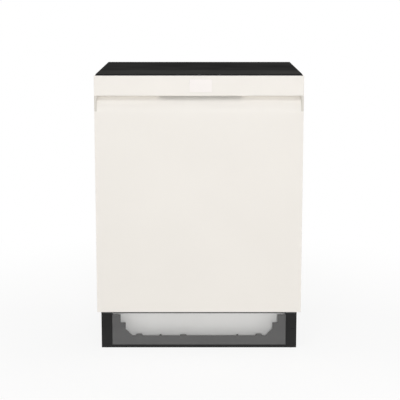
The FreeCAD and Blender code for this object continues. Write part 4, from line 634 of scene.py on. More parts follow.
# front: door sheet, fascia, grip
doorEdges = {"status_window": (0.15, 2), "grip_cheeks": (0.8, 2), "grip_pocket": (1.0, 3), "latch_case": (1.0, 2),
             "hinge_arms": (0.4, 2)}
easeAll(doorEdges)
doorSheet = {"ease": 1.6, "front": -287, "side": 298.9, "fold": -262, "foldShare": 0.2}
fascia = {"ease": 1.2, "windowHalf": 60, "windowLow": 770, "windowHigh": 812, "windowShare": 0.1}


def doorSheetShare(at):  # full easing round the front, little down the side folds, none behind
    if at.y < doorSheet["front"]:
        return 1
    return doorSheet["foldShare"] if abs(at.x) > doorSheet["side"] and at.y < doorSheet["fold"] else 0


def fasciaShare(at):  # crisp round the window
    byWindow = abs(at.x) < fascia["windowHalf"] and fascia["windowLow"] < at.z < fascia["windowHigh"]
    return fascia["windowShare"] if byWindow else 1


easedCopy("door_skin", doorSheet["ease"], 3, doorSheetShare)
easedCopy("control_fascia", fascia["ease"], 3, fasciaShare)
doorLip = {"half": 284, "section": [(-285.5, 127.5), (-286.1, 123.8), (-285.3, 122.6), (-282.1, 123.4),
                                    (-281.5, 127.5)]}  # rubber wiper under the door sheet; its dark also gives the thin shadow line under the door: partly painted shade
shell = newShell()
addBar(shell, doorLip["section"], (-doorLip["half"], 0, doorLip["half"]), "x")
shellPiece("doorLip", shell, "door_skin", finish=rubber)

# keys on the strip, each with a small plain mark, and a row of indicator lenses
keyMarks = {"at": {"key_power": -60, "key_program": 0, "key_start": 60}, "y": -261.35, "from": 819.4, "to": 819.95,
            "ring": (3.6, 2.8), "arc": (120, 300, 20), "bar": (0.4, 0.6, 4.2), "line": (3.5, 0.4), "linePitch": 2.2,
            "arrow": [(-2.4, -3.2), (3.2, 0), (-2.4, 3.2)], "keyEase": 0.9}
y, z0, z1 = keyMarks["y"], keyMarks["from"], keyMarks["to"]
for name, x in keyMarks["at"].items():
    easedCopy(name, keyMarks["keyEase"], 3)
    shell = newShell()
    if name == "key_power":  # open ring with a bar
        (outer, inner), (start, sweepBy, steps) = keyMarks["ring"], keyMarks["arc"]
        rim = [(outer, z0), (outer, z1), (inner, z1), (inner, z0)]
        angles = [math.radians(start + sweepBy * k / steps) for k in range(steps + 1)]
        addRings(shell, [[(x + r * math.cos(a), y + r * math.sin(a), z) for r, z in rim] for a in angles])
        half, low, high = keyMarks["bar"]
        addBlock(shell, (x - half, y + low, z0), (x + half, y + high, z1))
    elif name == "key_program":  # three short bars
        long, thick = keyMarks["line"]
        for k in (-1, 0, 1):
            middle = y + keyMarks["linePitch"] * k
            addBlock(shell, (x - long, middle - thick, z0), (x + long, middle + thick, z1))
    else:  # arrow head
        addBar(shell, [(x + dx, y + dy) for dx, dy in keyMarks["arrow"]], (z0, z1), "z")
    shellPiece(pieceName(name) + "Mark", shell, name, finish=graphitePp)

controlStrip = {"across": (-296.2, 296.2), "upright": (-284.7, -238.0), "top": 820.0, "sheet": 4.0, "fields": [],
                "key": (12.3, 7.3), "lamp": (3.2, 1.4), "first": 110, "pitch": 14, "count": 6,
                "dome": [(2.9, 1), (0.7, 1), (0.4, 0.8)]}  # how far under the face, and share of the slit
strip = controlStrip
lampX = [strip["first"] + strip["pitch"] * k for k in range(strip["count"])]
spaces = [(x, strip["key"]) for x in keyMarks["at"].values()] + [(x, strip["lamp"]) for x in lampX]
strip["cuts"] = [(x - w, y - d, x + w, y + d) for x, (w, d) in spaces]
shell = newShell()
addSheet(shell, strip, lambda a, b, d: (a, b, strip["top"] - d))
shellPiece("controlStrip", shell, "control_strip", ["control_strip"], easeMm=0.4)
shell = newShell()
w, d = strip["lamp"]
for x in lampX:  # a low dome fills each slit, just under the strip's face
    addRings(shell, [[(x + i * w * share, y + j * d * share, strip["top"] - sunk)
                      for i, j in ((-1, -1), (1, -1), (1, 1), (-1, 1))] for sunk, share in strip["dome"]])
shellPiece("indicatorLenses", shell, "control_strip", finish=opalWindow)
print("door front done")

# cabinet outside
topBoards = {"half": 299, "front": -235, "joint": -84, "back": 287.5, "low": 806, "mid": 812, "high": 820, "gap": 0.5,
             "tongue": 8, "fit": 0.2}  # front rail, drawn a shade lighter as painted sheen along the top's front, tongued under the main board
boards = topBoards
front, back, low, mid, high, fit = (boards[key] for key in ("front", "back", "low", "mid", "high", "fit"))
near, far, end = (boards["joint"] + step for step in (-boards["gap"], boards["gap"], boards["tongue"]))
railSide = [(front, low), (end, low), (end, mid), (near, mid), (near, high), (front, high)]
mainSide = [(end + fit, low), (back, low), (back, high), (far, high), (far, mid + fit), (end + fit, mid + fit)]
for name, outline, replaced, finish in (("topPanel", mainSide, ["top_panel"], melamine),
                                        ("topRail", railSide, (), railMelaminePaintedSheen)):
    shell = newShell()
    addBar(shell, outline, (-boards["half"], boards["half"]), "x")
    shellPiece(name, shell, "top_panel", replaced, finish, easeMm=1.0, steps=3)

cabinetEdges = {"toe_frame": (0.5, 2), "toe_plate": (0.3, 2), "cable_gland": (1.0, 2), "hinge_brackets": (0.4, 2),
                "latch_strike": (0.5, 2), "rack_rails": (0.6, 2), "sump_housing": (0.8, 2), "base_tray": (1.2, 3)}
easeAll(cabinetEdges)
sideSheet = {"face": 299, "across": (-232.5, 284.5), "upright": (115, 806), "slope": 5, "depth": 2.5, "sheet": 1.0,
             "fields": [(-185, 205, 250, 765)], "cuts": [(-233, 115, -200.5, 180)],
             "flanges": [((286, -232.5, 805), (298.2, 284.5, 806)), ((286, 283.5, 115), (298.2, 284.5, 806)),
                         ((291.8, -200.5, 115), (298.2, 284.5, 116))]}  # shallow stiffening field, bent flanges
for name, sign in (("side_panel_left", -1), ("side_panel_right", 1)):
    shell = newShell()
    addSheet(shell, sideSheet, lambda a, b, d: (sign * (sideSheet["face"] - d), a, b))
    for low, high in sideSheet["flanges"]:
        addBlock(shell, (sign * low[0], *low[1:]), (sign * high[0], *high[1:]))
    shellPiece(pieceName(name), shell, name, [name], easeMm=0.3)
rearSheet = {"face": 285.5, "across": (-299, 299), "upright": (115, 806), "slope": 4, "depth": 7.0, "sheet": 1.0,
             "fields": [(-255, 150, 255, 325), (-255, 355, 255, 560), (-255, 590, 255, 770)]}
shell = newShell()
addSheet(shell, rearSheet, lambda a, b, d: (a, rearSheet["face"] - d, b))
shellPiece("rearPanel", shell, "rear_panel", ["rear_panel"], easeMm=0.3)

plateFoot = {"low": (-258, -226.5, 9.8), "high": (258, -195.2, 10.8)}  # the toe plate's bent foot
shell = newShell()
addBlock(shell, plateFoot["low"], plateFoot["high"])
shellPiece("toePlateFoot", shell, "toe_plate", easeMm=0.3)

baseRibs = {"side": 291.5, "from": -180, "to": 230, "pitch": 34, "half": 2.2, "rise": 1.6, "sunk": 0.32, "crown": 0.6,
            "levels": [(14, 0.8, 0.1), (18, 1, 1), (100, 1, 1), (104, 0.8, 0.1)]}  # height, share of width and rise
shell = newShell()
y = baseRibs["from"]
while y < baseRibs["to"]:  # moulded stiffening ribs, tapered to draw from the tool
    for sign in (-1, 1):
        x, rise, root = sign * baseRibs["side"], sign * baseRibs["rise"], sign * baseRibs["sunk"]
        rings = []
        for z, share, stand in baseRibs["levels"]:
            foot, top = baseRibs["half"] * share, baseRibs["half"] * share * baseRibs["crown"]
            rings.append([(x - root, y - foot, z), (x + rise * stand, y - top, z), (x + rise * stand, y + top, z),
                          (x - root, y + foot, z)])
        addRings(shell, rings)
    y += baseRibs["pitch"]
shellPiece("baseRibs", shell, "base_tray", easeMm=0.3)

clipSlot = {"low": (275, 59.4), "high": (286.4, 62.2), "face": -232.5, "rim": 0.7, "rimDepth": 0.5,
            "slitProud": 0.1}  # slit for a clip, right post; the slit is a black block just proud of the face: painted shade
shell, slit = newShell(), newShell()
(x0, z0), (x1, z1), rim = clipSlot["low"], clipSlot["high"], clipSlot["rim"]
y, deep = clipSlot["face"], clipSlot["rimDepth"]
for low, high in (((x0 - rim, z0 - rim), (x1 + rim, z0)), ((x0 - rim, z1), (x1 + rim, z1 + rim)),
                  ((x0 - rim, z0), (x0, z1)), ((x1, z0), (x1 + rim, z1))):
    addBlock(shell, (low[0], y - deep, low[1]), (high[0], y + deep, high[1]))
addBlock(slit, (x0, y - clipSlot["slitProud"], z0), (x1, y + deep, z1))
shellPiece("toeClipRim", shell, "base_tray", easeMm=0.2)
shellPiece("toeClipSlit", slit, "base_tray", finish=glossAbs, easeMm=0.1)

screwHead = {"columns": (-292, 292), "shares": (0.06, 0.35, 0.65, 0.94), "low": 115, "high": 806, "face": 285.5,
             "profile": [(2.0, -6), (2.0, 0), (4.0, 0), (4.0, 0.665), (3.44, 1.33), (2.2, 1.786), (tip, 1.9)],
             "slot": (2.0, 0.35), "slotFrom": 1.4, "slotTo": 1.95}
screw = screwHead
face, (long, thin) = screw["face"], screw["slot"]
heads, recessShades = newShell(), newShell()
for x in screw["columns"]:
    for share in screw["shares"]:
        z = screw["low"] + (screw["high"] - screw["low"]) * share
        addTurned(heads, [(r, face + out) for r, out in screw["profile"]], (x, z), "y", 28)
        for w, h in ((long, thin), (thin, long)):  # crossed recess, drawn as black bars on the head: painted shade, no hollow
            addBlock(recessShades, (x - w, face + screw["slotFrom"], z - h), (x + w, face + screw["slotTo"], z + h))
shellPiece("cabinetScrews", heads, "cabinet_screws", ["cabinet_screws"])
shellPiece("screwRecesses", recessShades, "cabinet_screws", finish=glossAbs)

spigots = {
    "inlet": {"at": (-200, 80), "radius": 13.2, "bore": 10.2, "root": 235, "floor": 252, "from": 246, "to": 268,
              "pitch": 2.4, "section": [(-0.2, 0), (0.7, 0.96), (0.7, 1.32), (-0.2, 2.4)],
              "body": ((-225, 186.5, 55), (-175, 236.5, 105)),
              "sieve": [(tip, 251.5), (10.2, 251.5), (10.2, 252.5), (5.1, 254.0), (tip, 254.6)]},
    "drain": {"at": (40, 70), "radius": 10.0, "bore": 7.0, "root": 146.5, "floor": 226, "from": 248, "to": 269,
              "pitch": 6.5, "section": [(-0.2, 0), (1.2, 0.4), (-0.2, 5.85)],
              "seat": [(9.8, 233.5), (13.0, 233.5), (13.0, 236.5), (9.8, 236.5)]},
    "wall": 242.5, "end": 270.5, "collar": 3.0, "chamfer": 0.5, "ease": 0.6}


def addSpigot(shell, pipe):  # open pipe end with a collar against the base's rear wall
    r, bore, wall, end, ease = pipe["radius"], pipe["bore"], spigots["wall"], spigots["end"], spigots["ease"]
    rim, front, chamfer = r + spigots["collar"], wall + spigots["collar"], spigots["chamfer"]
    addTurned(shell, [(tip, pipe["root"]), (r, pipe["root"]), (r, wall), (rim, wall), (rim, front - chamfer),
                      (rim - chamfer, front), (r, front), (r, end - ease), (r - ease, end), (bore + ease, end),
                      (bore, end - ease), (bore, pipe["floor"]), (tip, pipe["floor"])], pipe["at"], "y", 40)


def addPipeRings(shell, pipe):  # the same ring at each step along the pipe
    y = pipe["from"]
    while y < pipe["to"]:
        addTurned(shell, [(pipe["radius"] + out, y + along) for out, along in pipe["section"]], pipe["at"], "y", 36,
                  hoop=True)
        y += pipe["pitch"]


shell, threads, sieve = newShell(), newShell(), newShell()
pipe = spigots["inlet"]
addSpigot(shell, pipe)
addBlock(shell, *pipe["body"])
shellPiece("inletValve", shell, "inlet_valve", ["inlet_valve"])
addPipeRings(threads, pipe)  # pipe thread drawn as rings
shellPiece("inletThread", threads, "inlet_valve")
addTurned(sieve, pipe["sieve"], pipe["at"], "y", 36)
shellPiece("inletSieve", sieve, "inlet_valve", finish=punchedSteel)  # dirt sieve down in the inlet

shell, barbs = newShell(), newShell()
pipe = spigots["drain"]
addSpigot(shell, pipe)
addTurned(shell, pipe["seat"], pipe["at"], "y", 40, hoop=True)  # seat inside the wall
shellPiece("drainUnion", shell, "drain_union", ["drain_union"])
addPipeRings(barbs, pipe)  # hose barbs
shellPiece("drainBarbs", barbs, "drain_union")

footThread = {"pad": 13, "thick": 4, "ease": 1, "stem": 5, "neck": 6.5, "root": 4.3, "length": 55,
              "pitch": 2.5,  # real pitch 1.75, drawn coarser so that it shows
              "at": {"foot_front_left": (-275.75, -214.5), "foot_front_right": (275.75, -214.5),
                     "foot_rear": (0, 224.5)}}
pad, thick, ease, stem, pitch = (footThread[key] for key in ("pad", "thick", "ease", "stem", "pitch"))
profile = [(tip, 0), (pad - ease, 0), (pad, ease), (pad, thick - ease), (pad - ease, thick),
           (footThread["neck"], thick)]
z, top = thick + ease, thick + footThread["length"]
while z < top - pitch:
    profile += [(footThread["root"], z), (stem, z + pitch / 2)]
    z += pitch
profile += [(stem - ease, top), (tip, top)]
for name, spot in footThread["at"].items():
    shell = newShell()
    addTurned(shell, profile, spot, count=28)
    shellPiece(pieceName(name), shell, name, [name], sharp=50)

coils = {"x": 280.5, "z": 160, "from": -220.7, "to": 9.0, "radius": 3.2, "wire": 0.8, "pitch": 3.6, "turnSteps": 10}
length = coils["to"] - coils["from"]
turns = length / coils["pitch"]
steps = int(turns * coils["turnSteps"])
runs = []
for sign in (-1, 1):
    run = []
    for k in range(steps + 1):
        angle = 2 * math.pi * turns * k / steps
        run.append((sign * coils["x"] + coils["radius"] * math.cos(angle), coils["from"] + length * k / steps,
                    coils["z"] + coils["radius"] * math.sin(angle)))
    runs.append((run, 1, False))
wirePiece("balanceSprings", runs, coils["wire"], "balance_springs", ["balance_springs"])
print("cabinet outside done")

# tub and inner door
backSheet = {"face": 256.5, "across": (-274, 274), "upright": (179, 797.5), "slope": 8, "depth": 1.0, "sheet": 1.0,
             "fields": [(-245, 205, 245, 440), (-245, 480, 245, 765)]}
shell = newShell()
addSheet(shell, backSheet, lambda a, b, d: (a, backSheet["face"] + d, b))
shellPiece("tubBack", shell, "tub_back", ["tub_back"], easeMm=0.3)
linerSheet = {"face": -238, "across": (-297.7, 297.7), "upright": (168, 816), "slope": 8, "depth": 1.0, "sheet": 1.0,
              "fields": [(-258, 196, 258, 402), (-258, 612, 258, 760), (75, 432, 258, 583), (-258, 432, -165, 583)],
              "cuts": [(-130.3, 432.2, 40.3, 582.8), (-12, 784, 12, 792)],  # for the dispenser and the latch
              "turnedEdge": ((296.7, -250, 168), (297.7, -238.2, 761))}
shell = newShell()
addSheet(shell, linerSheet, lambda a, b, d: (a, linerSheet["face"] - d, b))
low, high = linerSheet["turnedEdge"]
for sign in (-1, 1):
    addBlock(shell, (sign * low[0], *low[1:]), (sign * high[0], *high[1:]))
shellPiece("doorLiner", shell, "door_liner", ["door_liner"], easeMm=0.3)

tubEdges = {"tub_wrap": (0.4, 2), "tub_floor": (0.5, 2), "dispenser_body": (1.0, 3), "dispenser_lid": (0.8, 3),
            "fine_filter": (0.3, 2), "salt_cap": (0.9, 3), "spray_feed_pipe": (0.5, 2), "rack_feed_tube": (0.5, 2),
            "rack_sliders": (0.5, 2), "filter_cup": (0.6, 2)}
easeAll(tubEdges)
rinseCap = {"at": (19, 470), "bar": ((6.5, -234.2, 468), (31.5, -230.0, 472)),
            "profile": [(tip, -245), (9, -245), (9, -235.7), (15.6, -235.7), (16, -235.2), (16, -233.7), (15.7, -233.0),
                        (15, -232.7), (13.6, -232.7), (13.2, -233.2), (tip, -233.2)]}  # twist cap with a finger bar
shell, bar = newShell(), newShell()
addTurned(shell, rinseCap["profile"], rinseCap["at"], "y", 48)
shellPiece("rinseCap", shell, "rinse_cap", ["rinse_cap"])
addBlock(bar, *rinseCap["bar"])
shellPiece("rinseCapBar", bar, "rinse_cap", easeMm=0.9, steps=3)

saltGrip = {"at": (-185, 115), "ring": [(28, 187.0), (28, 188.3), (26.4, 188.3), (26.4, 187.0)],
            "bar": ((-208, 112.2, 187.0), (-162, 117.8, 189.9))}  # raised ring and finger bar on the salt cap
shell = newShell()
addTurned(shell, saltGrip["ring"], saltGrip["at"], count=56, hoop=True)
addBlock(shell, *saltGrip["bar"])
shellPiece("saltCapGrip", shell, "salt_cap", easeMm=0.5)

lidRibs = {"x": (-96, -58), "z": (447, 458.5, 481.5, 493), "half": 0.9, "from": -232.9, "to": -232.0}
shell = newShell()
for z in lidRibs["z"]:  # none at the lid's middle
    addBlock(shell, (lidRibs["x"][0], lidRibs["from"], z - lidRibs["half"]),
             (lidRibs["x"][1], lidRibs["to"], z + lidRibs["half"]))
shellPiece("lidRibs", shell, "dispenser_lid", easeMm=0.4)

sightGlass = {"at": (19, 520), "profile": [(8.5, -236.4), (8.5, -235.5), (6.5, -235.1), (6.1, -235.8), (4.55, -235.3),
                                           (2.275, -235.0), (tip, -234.9)]}  # rinse aid level eye
shell = newShell()
addTurned(shell, sightGlass["profile"], sightGlass["at"], "y", 32)
shellPiece("sightGlass", shell, "dispenser_body", finish=opalWindow)

gasket = {"half": 278, "foot": 205, "top": 800.7, "corner": 29, "steps": 8,
          "section": [(-4, -232.5), (-4, -233.5), (-2.4, -234.3), (-3.2, -235.6), (-2.6, -236.9), (-1.2, -237.5),
                      (0.4, -237.6), (2.0, -237.1), (3.0, -236.0), (2.4, -234.8), (4, -233.9),
                      (4, -232.5)]}  # foot, bulb and lips
corner = gasket["corner"]
path = [(-gasket["half"], gasket["foot"], -1, 0)]
for sign in (-1, 1):
    quarter = [math.pi / 2 * k / gasket["steps"] for k in range(gasket["steps"] + 1)]
    for angle in quarter if sign < 0 else reversed(quarter):
        nx, nz = sign * math.cos(angle), math.sin(angle)
        path.append((sign * (gasket["half"] - corner) + corner * nx, gasket["top"] - corner + corner * nz, nx, nz))
path.append((gasket["half"], gasket["foot"], 1, 0))
shell = newShell()
addRings(shell, [[(x + n * nx, y, z + n * nz) for n, y in gasket["section"]] for x, z, nx, nz in path])
shellPiece("doorGasket", shell, "door_gasket", ["door_gasket"], sharp=60)

filterRibs = {"at": (0, -95), "count": 8, "z": (126, 186),
              "section": [(30.8, -1.2), (32.4, -1.2), (32.4, 1.2), (30.8, 1.2)],
              "bar": ((-33, -97.2, 179), (33, -92.8, 187.4))}  # upright ribs in the mesh cup, lift-out bar
shell = newShell()
for angle in evenAngles(filterRibs["count"]):
    addBar(shell, turnedOutline(filterRibs["section"], filterRibs["at"], angle), filterRibs["z"], "z")
addBlock(shell, *filterRibs["bar"])
shellPiece("filterRibs", shell, "filter_cup", easeMm=0.5)
print("tub done")


# spray arms: hollow moulded blades, round in section, with a hub cap and a row of jets
def superRing(x, y, z, halfWide, halfHigh, count=22, power=0.7):  # between an ellipse and a box
    ring = []
    for angle in evenAngles(count):
        c, s = math.cos(angle), math.sin(angle)
        ring.append((x, y + halfWide * math.copysign(abs(c) ** power, c),
                     z + halfHigh * math.copysign(abs(s) ** power, s)))
    return ring


sprayArms = {
    "lower_spray_arm": {"reach": 215, "low": 194.0, "top": 214.8, "hub": 20, "up": 1,
                        "jets": (55, 88, 120, 150, 178, 200)},
    "upper_spray_arm": {"reach": 205, "low": 499.1, "top": 522.5, "hub": 14, "up": 1,
                        "jets": (48, 80, 112, 142, 170, 192)},
    "ceiling_spray_arm": {"reach": 105, "low": 746.3, "top": 769.7, "hub": 14, "up": -1, "jets": (40, 62, 84)},
}
blade = {"y": 10, "wide": (21, 9), "high": (6.5, 1.5), "jetOff": 4,  # half sizes at the hub, and loss to the end
         "half": [(0, 1), (0.1, 1), (0.3, 1), (0.6, 1), (0.95, 1), (0.98, 0.88), (0.995, 0.62), (1, 0.3)],
         "boss": [(4.2, -1.2), (4.0, 0.4), (3.2, 0.9), (2.2, 0.9), (1.8, 0.1)],
         "hole": [(1.9, 0.1), (1.9, 0.35), (tip, 0.3)]}
stations = [(-t, swell) for t, swell in reversed(blade["half"][1:])] + blade["half"]
(wide, narrows), (tall, thins) = blade["wide"], blade["high"]
for name, arm in sprayArms.items():
    reach, low, top, r, up = (arm[key] for key in ("reach", "low", "top", "hub", "up"))
    shell = newShell()
    addRings(shell, [superRing(t * reach, blade["y"], low + tall, (wide - narrows * abs(t)) * swell,
                               (tall - thins * abs(t)) * swell) for t, swell in stations])
    addTurned(shell, [(r, low + 0.3), (r, top - 1.6), (r - 0.6, top - 0.6), (r - 1.6, top), (r * 0.72, top),
                      (r * 0.68, top - 1.0), (r * 0.5, top - 1.0), (r * 0.46, top - 0.2), (tip, top - 0.2)],
              (0, blade["y"]), count=36)  # hub cap with a groove round its middle
    shellPiece(pieceName(name), shell, name, [name], sharp=50)
    bosses, jetHoleShades = newShell(), newShell()
    for k, jet in enumerate(arm["jets"]):
        for sign in (-1, 1):
            spot = (sign * jet, blade["y"] + sign * (blade["jetOff"] if k % 2 else -blade["jetOff"]))
            z = low + tall + up * (tall - thins * jet / reach)
            addTurned(bosses, [(radius, z + up * rise) for radius, rise in blade["boss"]], spot, count=20)
            # each jet's bore is a black cap on its boss: painted shade, no hole
            addTurned(jetHoleShades, [(radius, z + up * rise) for radius, rise in blade["hole"]], spot, count=16)
    shellPiece(pieceName(name) + "Jets", bosses, name)
    shellPiece(pieceName(name) + "Holes", jetHoleShades, name, finish=glossAbs)
print("spray arms done")

tineTip = [(2.0, 1), (0.9, 0.85), (0.3, 0.55), (0, 0.2)]  # mm under the top, and share of the thickness
basketForm = {"weld": 0.05, "railInset": 0.95, "cornerSteps": 8}


def spread(low, high, pitch):
    count = max(1, round((high - low) / pitch) - 1)
    return [low + (high - low) * (k + 1) / (count + 1) for k in range(count)]


def tineRun(x, y, low, high, thick):
    return [(x, y, low)] + [(x, y, high - under, share) for under, share in tineTip], thick, False


# wire baskets: each floor wire turns up at both ends and is welded inside the rim
def basketRuns(rack):
    half, front, back, corner, weld = rack["half"], rack["front"], rack["back"], rack["corner"], basketForm["weld"]
    inset = rack["rimWire"] + rack["wire"] + weld
    side, near, far = half - inset, front + inset, back - inset
    columns, rows = spread(-side, side, rack["pitch"]), spread(near, far, rack["pitch"])
    floor, top = rack["floor"], rack["rim"] + rack["rimWire"] / 2
    cross = floor - 2 * rack["wire"] - weld
    runs = [(bentRun([(x, near, top), (x, near, floor), (x, far, floor), (x, far, top)], rack["bend"]), 1, False)
            for x in columns]
    runs += [(bentRun([(-side, y, top), (-side, y, cross), (side, y, cross), (side, y, top)], rack["bend"]), 1, False)
             for y in rows]
    corners = ((half - corner, back - corner, 0), (corner - half, back - corner, 90),
               (corner - half, front + corner, 180), (half - corner, front + corner, 270))
    steps = basketForm["cornerSteps"]
    for level, thick, away in ((rack["rim"], rack["rimWire"] / rack["wire"], 0),
                               (rack["rail"], 1, basketForm["railInset"])):
        ring = []
        for cx, cy, start in corners:
            for k in range(steps + 1):
                angle = math.radians(start + 90 * k / steps)
                ring.append((cx + (corner - away) * math.cos(angle), cy + (corner - away) * math.sin(angle), level))
        runs.append((ring, thick, True))
    return runs, columns, rows


def addClips(shell, clips, x, z, places):  # clips that hold a folding row
    outline = [(x + dx, z + dz) for dx, dz in clips["section"]]
    for y in places:
        addBar(shell, outline, (y - clips["half"], y + clips["half"]), "y")


def addRunners(shell, runner):  # a bar along each side
    for sign in (-1, 1):
        x0, x1 = sorted(sign * x for x in runner["x"])
        addBlock(shell, (x0, runner["y"][0], runner["z"][0]), (x1, runner["y"][1], runner["z"][1]))


lowerRack = {"half": 245, "front": -214, "back": 226.5, "floor": 228, "rim": 343, "rail": 262, "pitch": 36,
             "wire": 2.0, "rimWire": 3.0, "corner": 30, "bend": 16, "tineTop": 315, "tineThick": 0.9, "tinePitch": 30,
             "clear": (-72, 37)}
rack = lowerRack
runs, columns, rows = basketRuns(rack)
free = [x for x in columns if not rack["clear"][0] < x < rack["clear"][1]]
tineRows = spread(rack["front"] + rack["corner"], rack["back"] - rack["corner"], rack["tinePitch"])
runs += [tineRun(x, y, rack["floor"], rack["tineTop"], rack["tineThick"]) for x in free[1:-1:2] for y in tineRows]
wirePiece("lowerRack", runs, rack["wire"], "lower_rack", ["lower_rack"])

foldRow = {"x": -55.373, "z": 235.5, "y": (-169, 1), "margin": 24, "tine": 85, "clipsAt": (-157, -11), "half": 6,
           "section": [(-4.2, -5.4), (4.2, -5.4), (4.4, 1.5), (2.6, 4.2), (-2.6, 4.2), (-4.4, 1.5)]}
x, z, (near, far) = foldRow["x"], foldRow["z"], foldRow["y"]
runs = [([(x, near, z), (x, far, z)], rack["tineThick"], False)]
runs += [tineRun(x, y, z, z + foldRow["tine"], rack["tineThick"])
         for y in spread(near + foldRow["margin"], far - foldRow["margin"], rack["tinePitch"])]
wirePiece("foldingTines", runs, rack["wire"], "folding_tines", ["folding_tines"])

axleBlocks = {"at": (-124, 136.5), "x": (246.05, 249.05), "pinX": (247.05, 259.6), "axle": 200.5, "pin": 3,
              "plate": [(-12, 244), (-12, 214), (-8, 198), (-4, 193.5), (4, 193.5), (8, 198), (12, 214), (12, 244)]}
shell = newShell()
for y in axleBlocks["at"]:
    for sign in (-1, 1):
        plate, pin = (sorted(sign * x for x in axleBlocks[key]) for key in ("x", "pinX"))
        addBar(shell, [(y + dy, z) for dy, z in axleBlocks["plate"]], plate, "x")
        addTurned(shell, [(axleBlocks["pin"], x) for x in pin], (y, axleBlocks["axle"]), "x", 20)
addClips(shell, foldRow, foldRow["x"], foldRow["z"], foldRow["clipsAt"])
shellPiece("lowerRackClips", shell, "lower_rack", finish=graphitePp, easeMm=0.8)

wheelForm = {"at": {"front_wheels": -124, "rear_wheels": 136.5}, "x": 254.35, "z": 200.5, "spokes": 5,
             "section": [(3.3, -4.6), (6.5, -4.6), (6.9, -2), (12.2, -1.6), (12.8, -4.6), (16, -4.8), (17, -3.6)],
             "spoke": [(6, -1.3), (13, -1.0), (13, 1.0), (6, 1.3)], "spokeHalf": 3.9}
section = wheelForm["section"] + [(r, -out) for r, out in reversed(wheelForm["section"])]  # both halves
for name, y in wheelForm["at"].items():
    shell, centre = newShell(), (y, wheelForm["z"])
    for sign in (-1, 1):
        x = sign * wheelForm["x"]
        addTurned(shell, [(r, x + out) for r, out in section], centre, "x", 40, hoop=True)
        for angle in evenAngles(wheelForm["spokes"]):  # raised spokes
            addBar(shell, turnedOutline(wheelForm["spoke"], centre, angle),
                   (x - wheelForm["spokeHalf"], x + wheelForm["spokeHalf"]), "x")
    shellPiece(pieceName(name), shell, name, [name], easeMm=0.3)

upperRack = {"half": 248, "front": -224, "back": 226.5, "floor": 545, "rim": 655, "rail": 600, "pitch": 36,
             "wire": 2.0, "rimWire": 3.0, "corner": 30, "bend": 16, "tineTop": 598, "tineThick": 0.9, "tinePitch": 30,
             "runner": {"x": (249.05, 267.4), "y": (-194, 196.5), "z": (594.3, 605.7)}}
rack = upperRack
runs, columns, rows = basketRuns(rack)
tineRows = spread(rack["front"] + rack["corner"], rack["back"] - rack["corner"], rack["tinePitch"])
runs += [tineRun(x, y, rack["floor"], rack["tineTop"], rack["tineThick"])
         for x in columns[len(columns) // 2::3] for y in tineRows]
wirePiece("upperRack", runs, rack["wire"], "upper_rack", ["upper_rack"])

cupShelf = {"x": -235.9, "z": 620, "reach": 70, "eyesNear": (-150, 150), "past": 24, "inset": 4, "bend": 12,
            "pitch": 36, "clear": 12, "loop": 0.95, "bar": 0.9, "half": 6,
            "section": [(-4.8, -4.6), (4.6, -4.6), (4.9, 1.5), (2.9, 4.8), (-2.9, 4.8), (-4.9, 1.5)]}
eyes = [min(rows, key=lambda row: abs(row - near)) for near in cupShelf["eyesNear"]]  # clips sit on two floor wires
shell = newShell()
addRunners(shell, rack["runner"])
addClips(shell, cupShelf, cupShelf["x"], cupShelf["z"], eyes)
shellPiece("upperRackRunners", shell, "upper_rack", finish=graphitePp, easeMm=1.0)
x0, x1, z = cupShelf["x"], cupShelf["x"] + cupShelf["reach"], cupShelf["z"]
y0, y1, inset = eyes[0] - cupShelf["past"], eyes[1] + cupShelf["past"], cupShelf["inset"]
runs = [([(x0, y0, z), (x0, y1, z)], 1, False)]
runs += [(bentRun([(x0, y0 + inset, z), (x1, y0 + inset, z), (x1, y1 - inset, z), (x0, y1 - inset, z)],
                  cupShelf["bend"]), cupShelf["loop"], False)]
runs += [([(x0, y, z), (x1, y, z)], cupShelf["bar"], False) for y in spread(y0, y1, cupShelf["pitch"])
         if all(abs(y - eye) > cupShelf["clear"] for eye in eyes)]
wirePiece("cupShelf", runs, rack["wire"], "cup_shelf", ["cup_shelf"])

rackGrips = {"at": {"lower_rack": (-214, 343), "upper_rack": (-224, 655)},
             "hook": [(-4.4, -16), (-5.2, -4), (-4.2, 2.2), (-1.5, 4.2), (1.5, 4.2), (4.2, 2.2), (5.0, -4), (4.6, -12),
                      (3.0, -12), (3.4, -3), (-3.3, -3), (-2.8, -16)],
             "ends": [(-62, 0.9), (-60.14, 1.0), (60.14, 1.0), (62, 0.9)]}  # place along, and share of the hook
for name, (y, z) in rackGrips["at"].items():  # moulded grip clipped over the front rim
    shell = newShell()
    addRings(shell, [[(x, y + dy * share, z + dz * share) for dy, dz in rackGrips["hook"]]
                     for x, share in rackGrips["ends"]])
    shellPiece(pieceName(name) + "Grip", shell, name, finish=graphitePp, easeMm=0.6)
print("racks done")

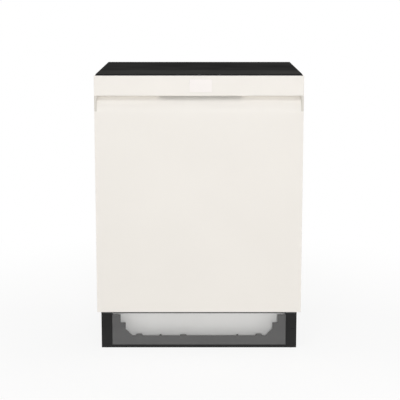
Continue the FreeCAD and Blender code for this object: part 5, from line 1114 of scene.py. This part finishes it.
cutleryTray = {"half": 249.05, "front": -224, "back": 226.5, "low": 697, "high": 737, "wall": 2.5, "divider": 85,
               "dividerHigh": 731, "dividerSunk": 1, "slotWide": 5, "slotLong": 34, "web": 5, "ease": 0.6,
               "runner": {"x": (249.05, 267.4), "y": (-194, 196.5), "z": (711.3, 722.7)}}
tray = cutleryTray
w, half, low, high = tray["wall"], tray["half"], tray["low"], tray["high"]
front, back, divider, sunk = tray["front"], tray["back"], tray["divider"], tray["dividerSunk"]
walls = newShell()
addBlock(walls, (-half, front, low), (half, front + w, high))
addBlock(walls, (-half, back - w, low), (half, back, high))
for x in (-half, half - w):
    addBlock(walls, (x, front, low), (x + w, back, high))
for x in (-divider - w, divider):
    addBlock(walls, (x, front + sunk, low), (x + w, back - sunk, tray["dividerHigh"]))
addRunners(walls, tray["runner"])
shellPiece("cutleryTray", walls, "cutlery_tray", ["cutlery_tray"], easeMm=0.8)


def slotEdges(start, end, slot):  # web and slot in turn, and the last web takes what is left
    edges, web = [start], tray["web"]
    while edges[-1] + web + slot + web < end:
        edges += [edges[-1] + web, edges[-1] + web + slot]
    return edges + [end]


grille = newShell()
yEdges = slotEdges(front + w, back - w, tray["slotLong"])
for start, end in ((-half + w, -divider - w), (-divider, divider), (divider + w, half - w)):
    xEdges = slotEdges(start, end, tray["slotWide"])
    base = len(grille["verts"])
    grille["verts"] += [(x / 1000, y / 1000, (low + w) / 1000) for y in yEdges for x in xEdges]
    for j in range(len(yEdges) - 1):
        for i in range(len(xEdges) - 1):
            if not (i % 2 and j % 2):  # odd cells are the drain slots
                a = base + j * len(xEdges) + i
                grille["faces"].append((a, a + 1, a + 1 + len(xEdges), a + len(xEdges)))
grate = shellPiece("trayGrate", grille, "cutlery_tray")
thick = grate.modifiers.new("sheet", "SOLIDIFY")
thick.thickness = w / 1000
thick.offset = -1
easeEdges(grate, tray["ease"])

comb = {"lines": (-215, -130, 130, 215), "margin": 12, "pitch": 16, "rise": 13, "sunk": 0.5, "wire": 1.5}
runs = [tineRun(x, y, low + w - comb["sunk"], low + w + comb["rise"], 1) for x in comb["lines"]
        for y in spread(front + comb["margin"], back - comb["margin"], comb["pitch"])]
wirePiece("trayComb", runs, comb["wire"], "cutlery_tray")
print("cutlery tray done")
